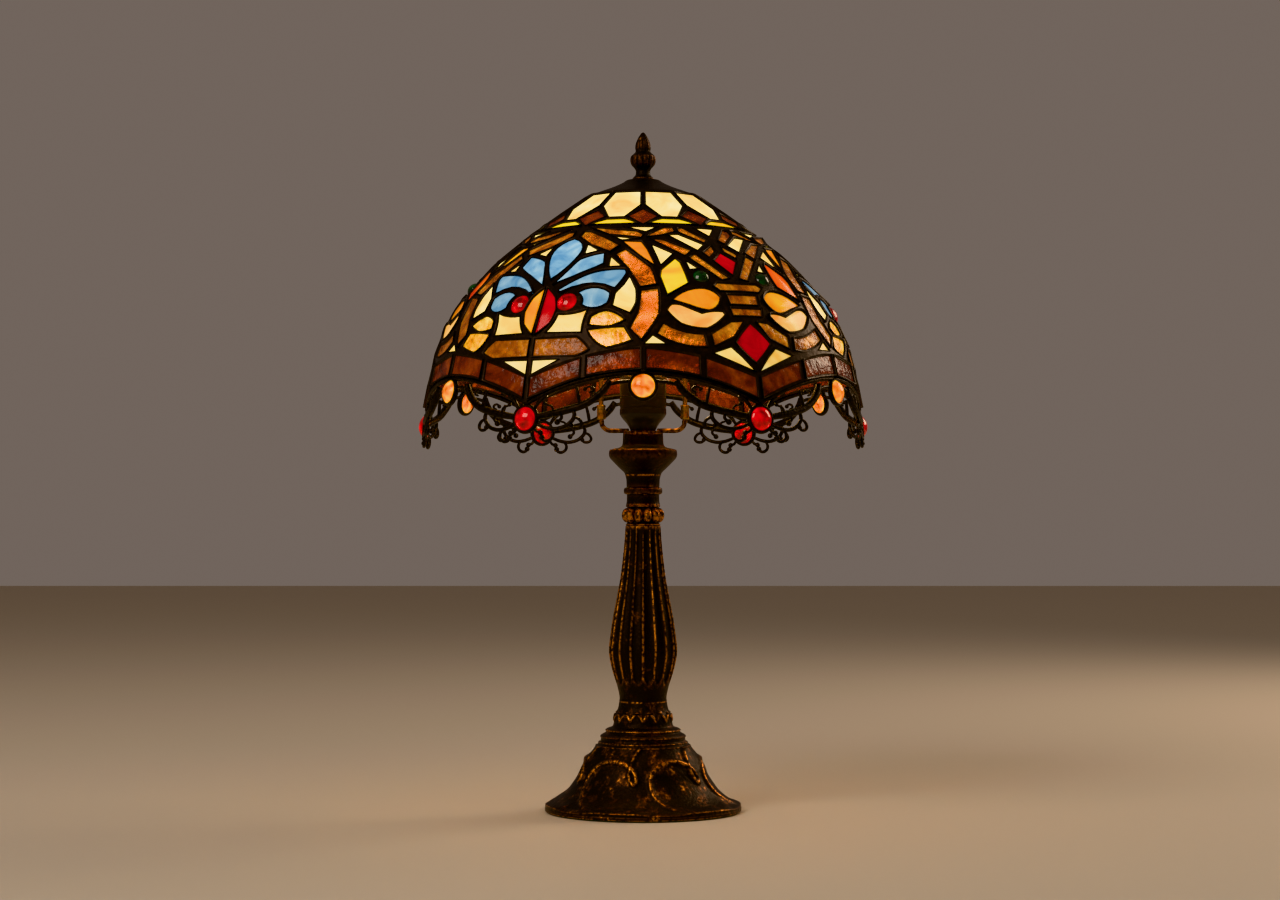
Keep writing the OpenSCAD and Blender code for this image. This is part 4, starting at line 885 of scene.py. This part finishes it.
# Dark cast pot metal: nearly black and glossy, so that it glints, with a skin of about 2 mm lumps
cast_metal = antique_bronze("dark_cast_metal", -0.12, "060504", "1e1610", "100b08")
BEZEL = [(7.7, -1.7), (8.6, -1.7), (9.5, -1.3), (9.9, -0.4), (9.9, 0.4), (9.5, 1.4), (8.7, 1.9),
         (8.0, 1.8), (7.7, 1.4), (7.7, -1.7)]


def turned_on_dome(profile, places):
    """Copies of a turned shape standing on the shade at each (azimuth, s)."""
    bm = bmesh.new()
    for azimuth, s in places:
        part = turned(profile, 40)
        part.transform(on_dome(azimuth, s))
        join(bm, part)
    return bm


points = [(60 * unit - ARCH_A, POINT_S) for unit in range(6)]
arches = [(60 * unit, ARCH_S) for unit in range(6)]
join(skirt, turned_on_dome(BEZEL, points))
piece(skirt, "filigree_skirt_castings", cast_metal, "shade", "skirt_metal", "filigree_skirt", sharp=60)
piece(turned_on_dome(BEZEL, arches), "arch_bezel_rings", cast_metal, "shade", "skirt_metal",
      "arch_bezels")

# ---- Jewels ----
# Moulded glass cabochons with a domed face and a flat back, held in the bezels and in the came of the
# pattern: red at the points and in the fans, amber at the arches, green in the crosses.

JEWEL_RISE = 3.58


def cabochon(r, h):
    """Half section of a cabochon of rim radius r: a straight rim from -h/2 to h/2 under its dome."""
    ball = (r * r + JEWEL_RISE ** 2) / (2 * JEWEL_RISE)
    rim = atan(r / (ball - JEWEL_RISE))
    face = [(ball * sin(rim * k / 8), h / 2 + JEWEL_RISE - ball * (1 - cos(rim * k / 8)))
            for k in range(8, -1, -1)]
    return [(0, -h / 2), (r - 0.3, -h / 2), (r, -h / 2 + 0.3)] + face


# Moulded jewel glass: clear strong colour and a fire-polished face with soft dimples 6 mm apart. Its glow
# is painted on as emission, stronger in clouds that follow the dimples.
def jewel_glass(name, stops, painted_glow, clear=0.35):
    """Jewel glass with a painted glow: its colours, the brightness of the painted glow, and the share of
    light that passes straight through.
    """
    mat = material(name)
    mat.cycles.emission_sampling = "NONE"
    coords = object_coords(mat)
    dimples, cloud = rough_bump(mat, coords, 6, 0.5, 1.0)
    tint = ramp(mat, cloud, stops)
    # Painted glow: emission strength that rises and falls with the dimple noise
    level = add(mat, "MapRange", {"Value": (cloud, 0)}, From_Min=0.3, From_Max=0.7, To_Min=0.6 * painted_glow,
                To_Max=1.3 * painted_glow)
    stone = add(mat, "BsdfPrincipled", {"Base Color": (tint, 0), "Emission Color": (tint, 0),
                                        "Emission Strength": (level, 0), "Normal": (dimples, 0)},
                Roughness=0.08, IOR=1.52, Transmission_Weight=clear, Coat_Weight=0.3)
    return show(mat, stone)


red_jewel = jewel_glass("moulded_red_jewel_glass", [(0.3, "700006"), (0.5, "b4000c"), (0.7, "dc0814")],
                        0.5)
green_jewel = jewel_glass("moulded_green_jewel_glass", [(0.3, "021006"), (0.5, "082a12"),
                                                        (0.7, "1c5a2a")], 0.1)
amber_jewel = jewel_glass("moulded_amber_jewel_glass", [(0.3, "b85000"), (0.5, "f08c08"),
                                                        (0.7, "ffcc40")], 0.9, 0.12)
fan_spots = [(120 * k - ARCH_A + way * 7.9, 128.9) for k in range(3) for way in (-1, 1)]
cross_spots = [(120 * k - ARCH_A + way * 48.6, 107.7) for k in range(3) for way in (-1, 1)]
for kind, mat, slot, places, r, h in (
    ("point", red_jewel, "jewel_red", points, 7.6, 3.4),
    ("arch", amber_jewel, "jewel_amber", arches, 7.6, 3.4),
    ("fan", red_jewel, "jewel_red", fan_spots, 7, 2.8),
    ("cross", green_jewel, "jewel_green", cross_spots, 5.6, 2.8),
):
    piece(turned_on_dome(cabochon(r, h), places), f"{kind}_jewel_cabochons", mat, "shade", slot,
          f"{kind}_jewels", sharp=50)

# ---- Shade cap ----
# A spun bell of sheet metal, stepped twice, that sits on the upper edge of the crown and carries the
# shade. It is coated in the same dark bronze as the stem.

CAP_TOP = 445.4
STUD_HOLE = 3.4
cap_out = [(10.5, 0), (10.5, 0), (12, -0.4), (14.5, -2.1), (18.5, -4.1), (23.7, -6.3), (30, -8.6),
           (35.2, -10.6), (36.2, -11.2), (37.1, -12.3), (37.1, -12.9), (37.1, -12.9)]
cap_in = [(35.9, -12.9), (35.2, -12.0), (34.5, -11.8), (29.6, -10.2), (23.3, -7.9), (18, -6),
          (13, -3.8), (10.5, -3)]
cap_side = [(STUD_HOLE, 0)] + drawn(cap_out, 5) + cap_in + [(STUD_HOLE, -3), (STUD_HOLE, 0)]
cap = turned([(r, CAP_TOP + z) for r, z in cap_side], 128)
cap_bronze = antique_bronze("dark_bronze_coating", -0.04, "140c07", "8a5a2e")
piece(cap, "shade_cap_spun", cap_bronze, "shade", "bronze", "shade_cap")

# ---- Finial ----
# A cast urn with a pointed bud, its lower bowl cut into twelve lobes, screwed on the stud of the harp
# so that it clamps the shade.

FINIAL_Z = CAP_TOP + 0.2
FINIAL_H = 34
LOBES = 12
finial_side = [
    (7.4, 0), (7.4, 0), (7.5, 0.03), (6.6, 0.06), (5.4, 0.1), (5.0, 0.16), (5.2, 0.2), (6.2, 0.25),
    (8.3, 0.32), (9.2, 0.4), (8.8, 0.48), (7.2, 0.53), (5.7, 0.57), (5.3, 0.61), (5.6, 0.67),
    (5.2, 0.76), (3.8, 0.86), (2.4, 0.93), (1.1, 0.98), (0, 1), (0, 1),
]
finial = turned([(STUD_HOLE, FINIAL_Z + 10), (STUD_HOLE, FINIAL_Z)]
                + [(r, FINIAL_Z + z * FINIAL_H) for r, z in drawn(finial_side, 5)], LOBES * 10)
for v in finial.verts:
    up = (v.co.z / MM - FINIAL_Z) / FINIAL_H
    if v.co.xy.length > 3.6 * MM and 0.2 < up < 0.95:
        turn = (turn_of(v.co) * LOBES) % 1.0
        bowl = sin(pi * (up - 0.2) / 0.36) if up < 0.56 else 0.7 * sin(pi * (up - 0.56) / 0.39)
        v.co.xy *= 1 - 0.09 * bowl * (2 * abs(turn - 0.5)) ** 2
piece(finial, "finial_bud", cap_bronze, "finial", "bronze", "finial", sharp=50)
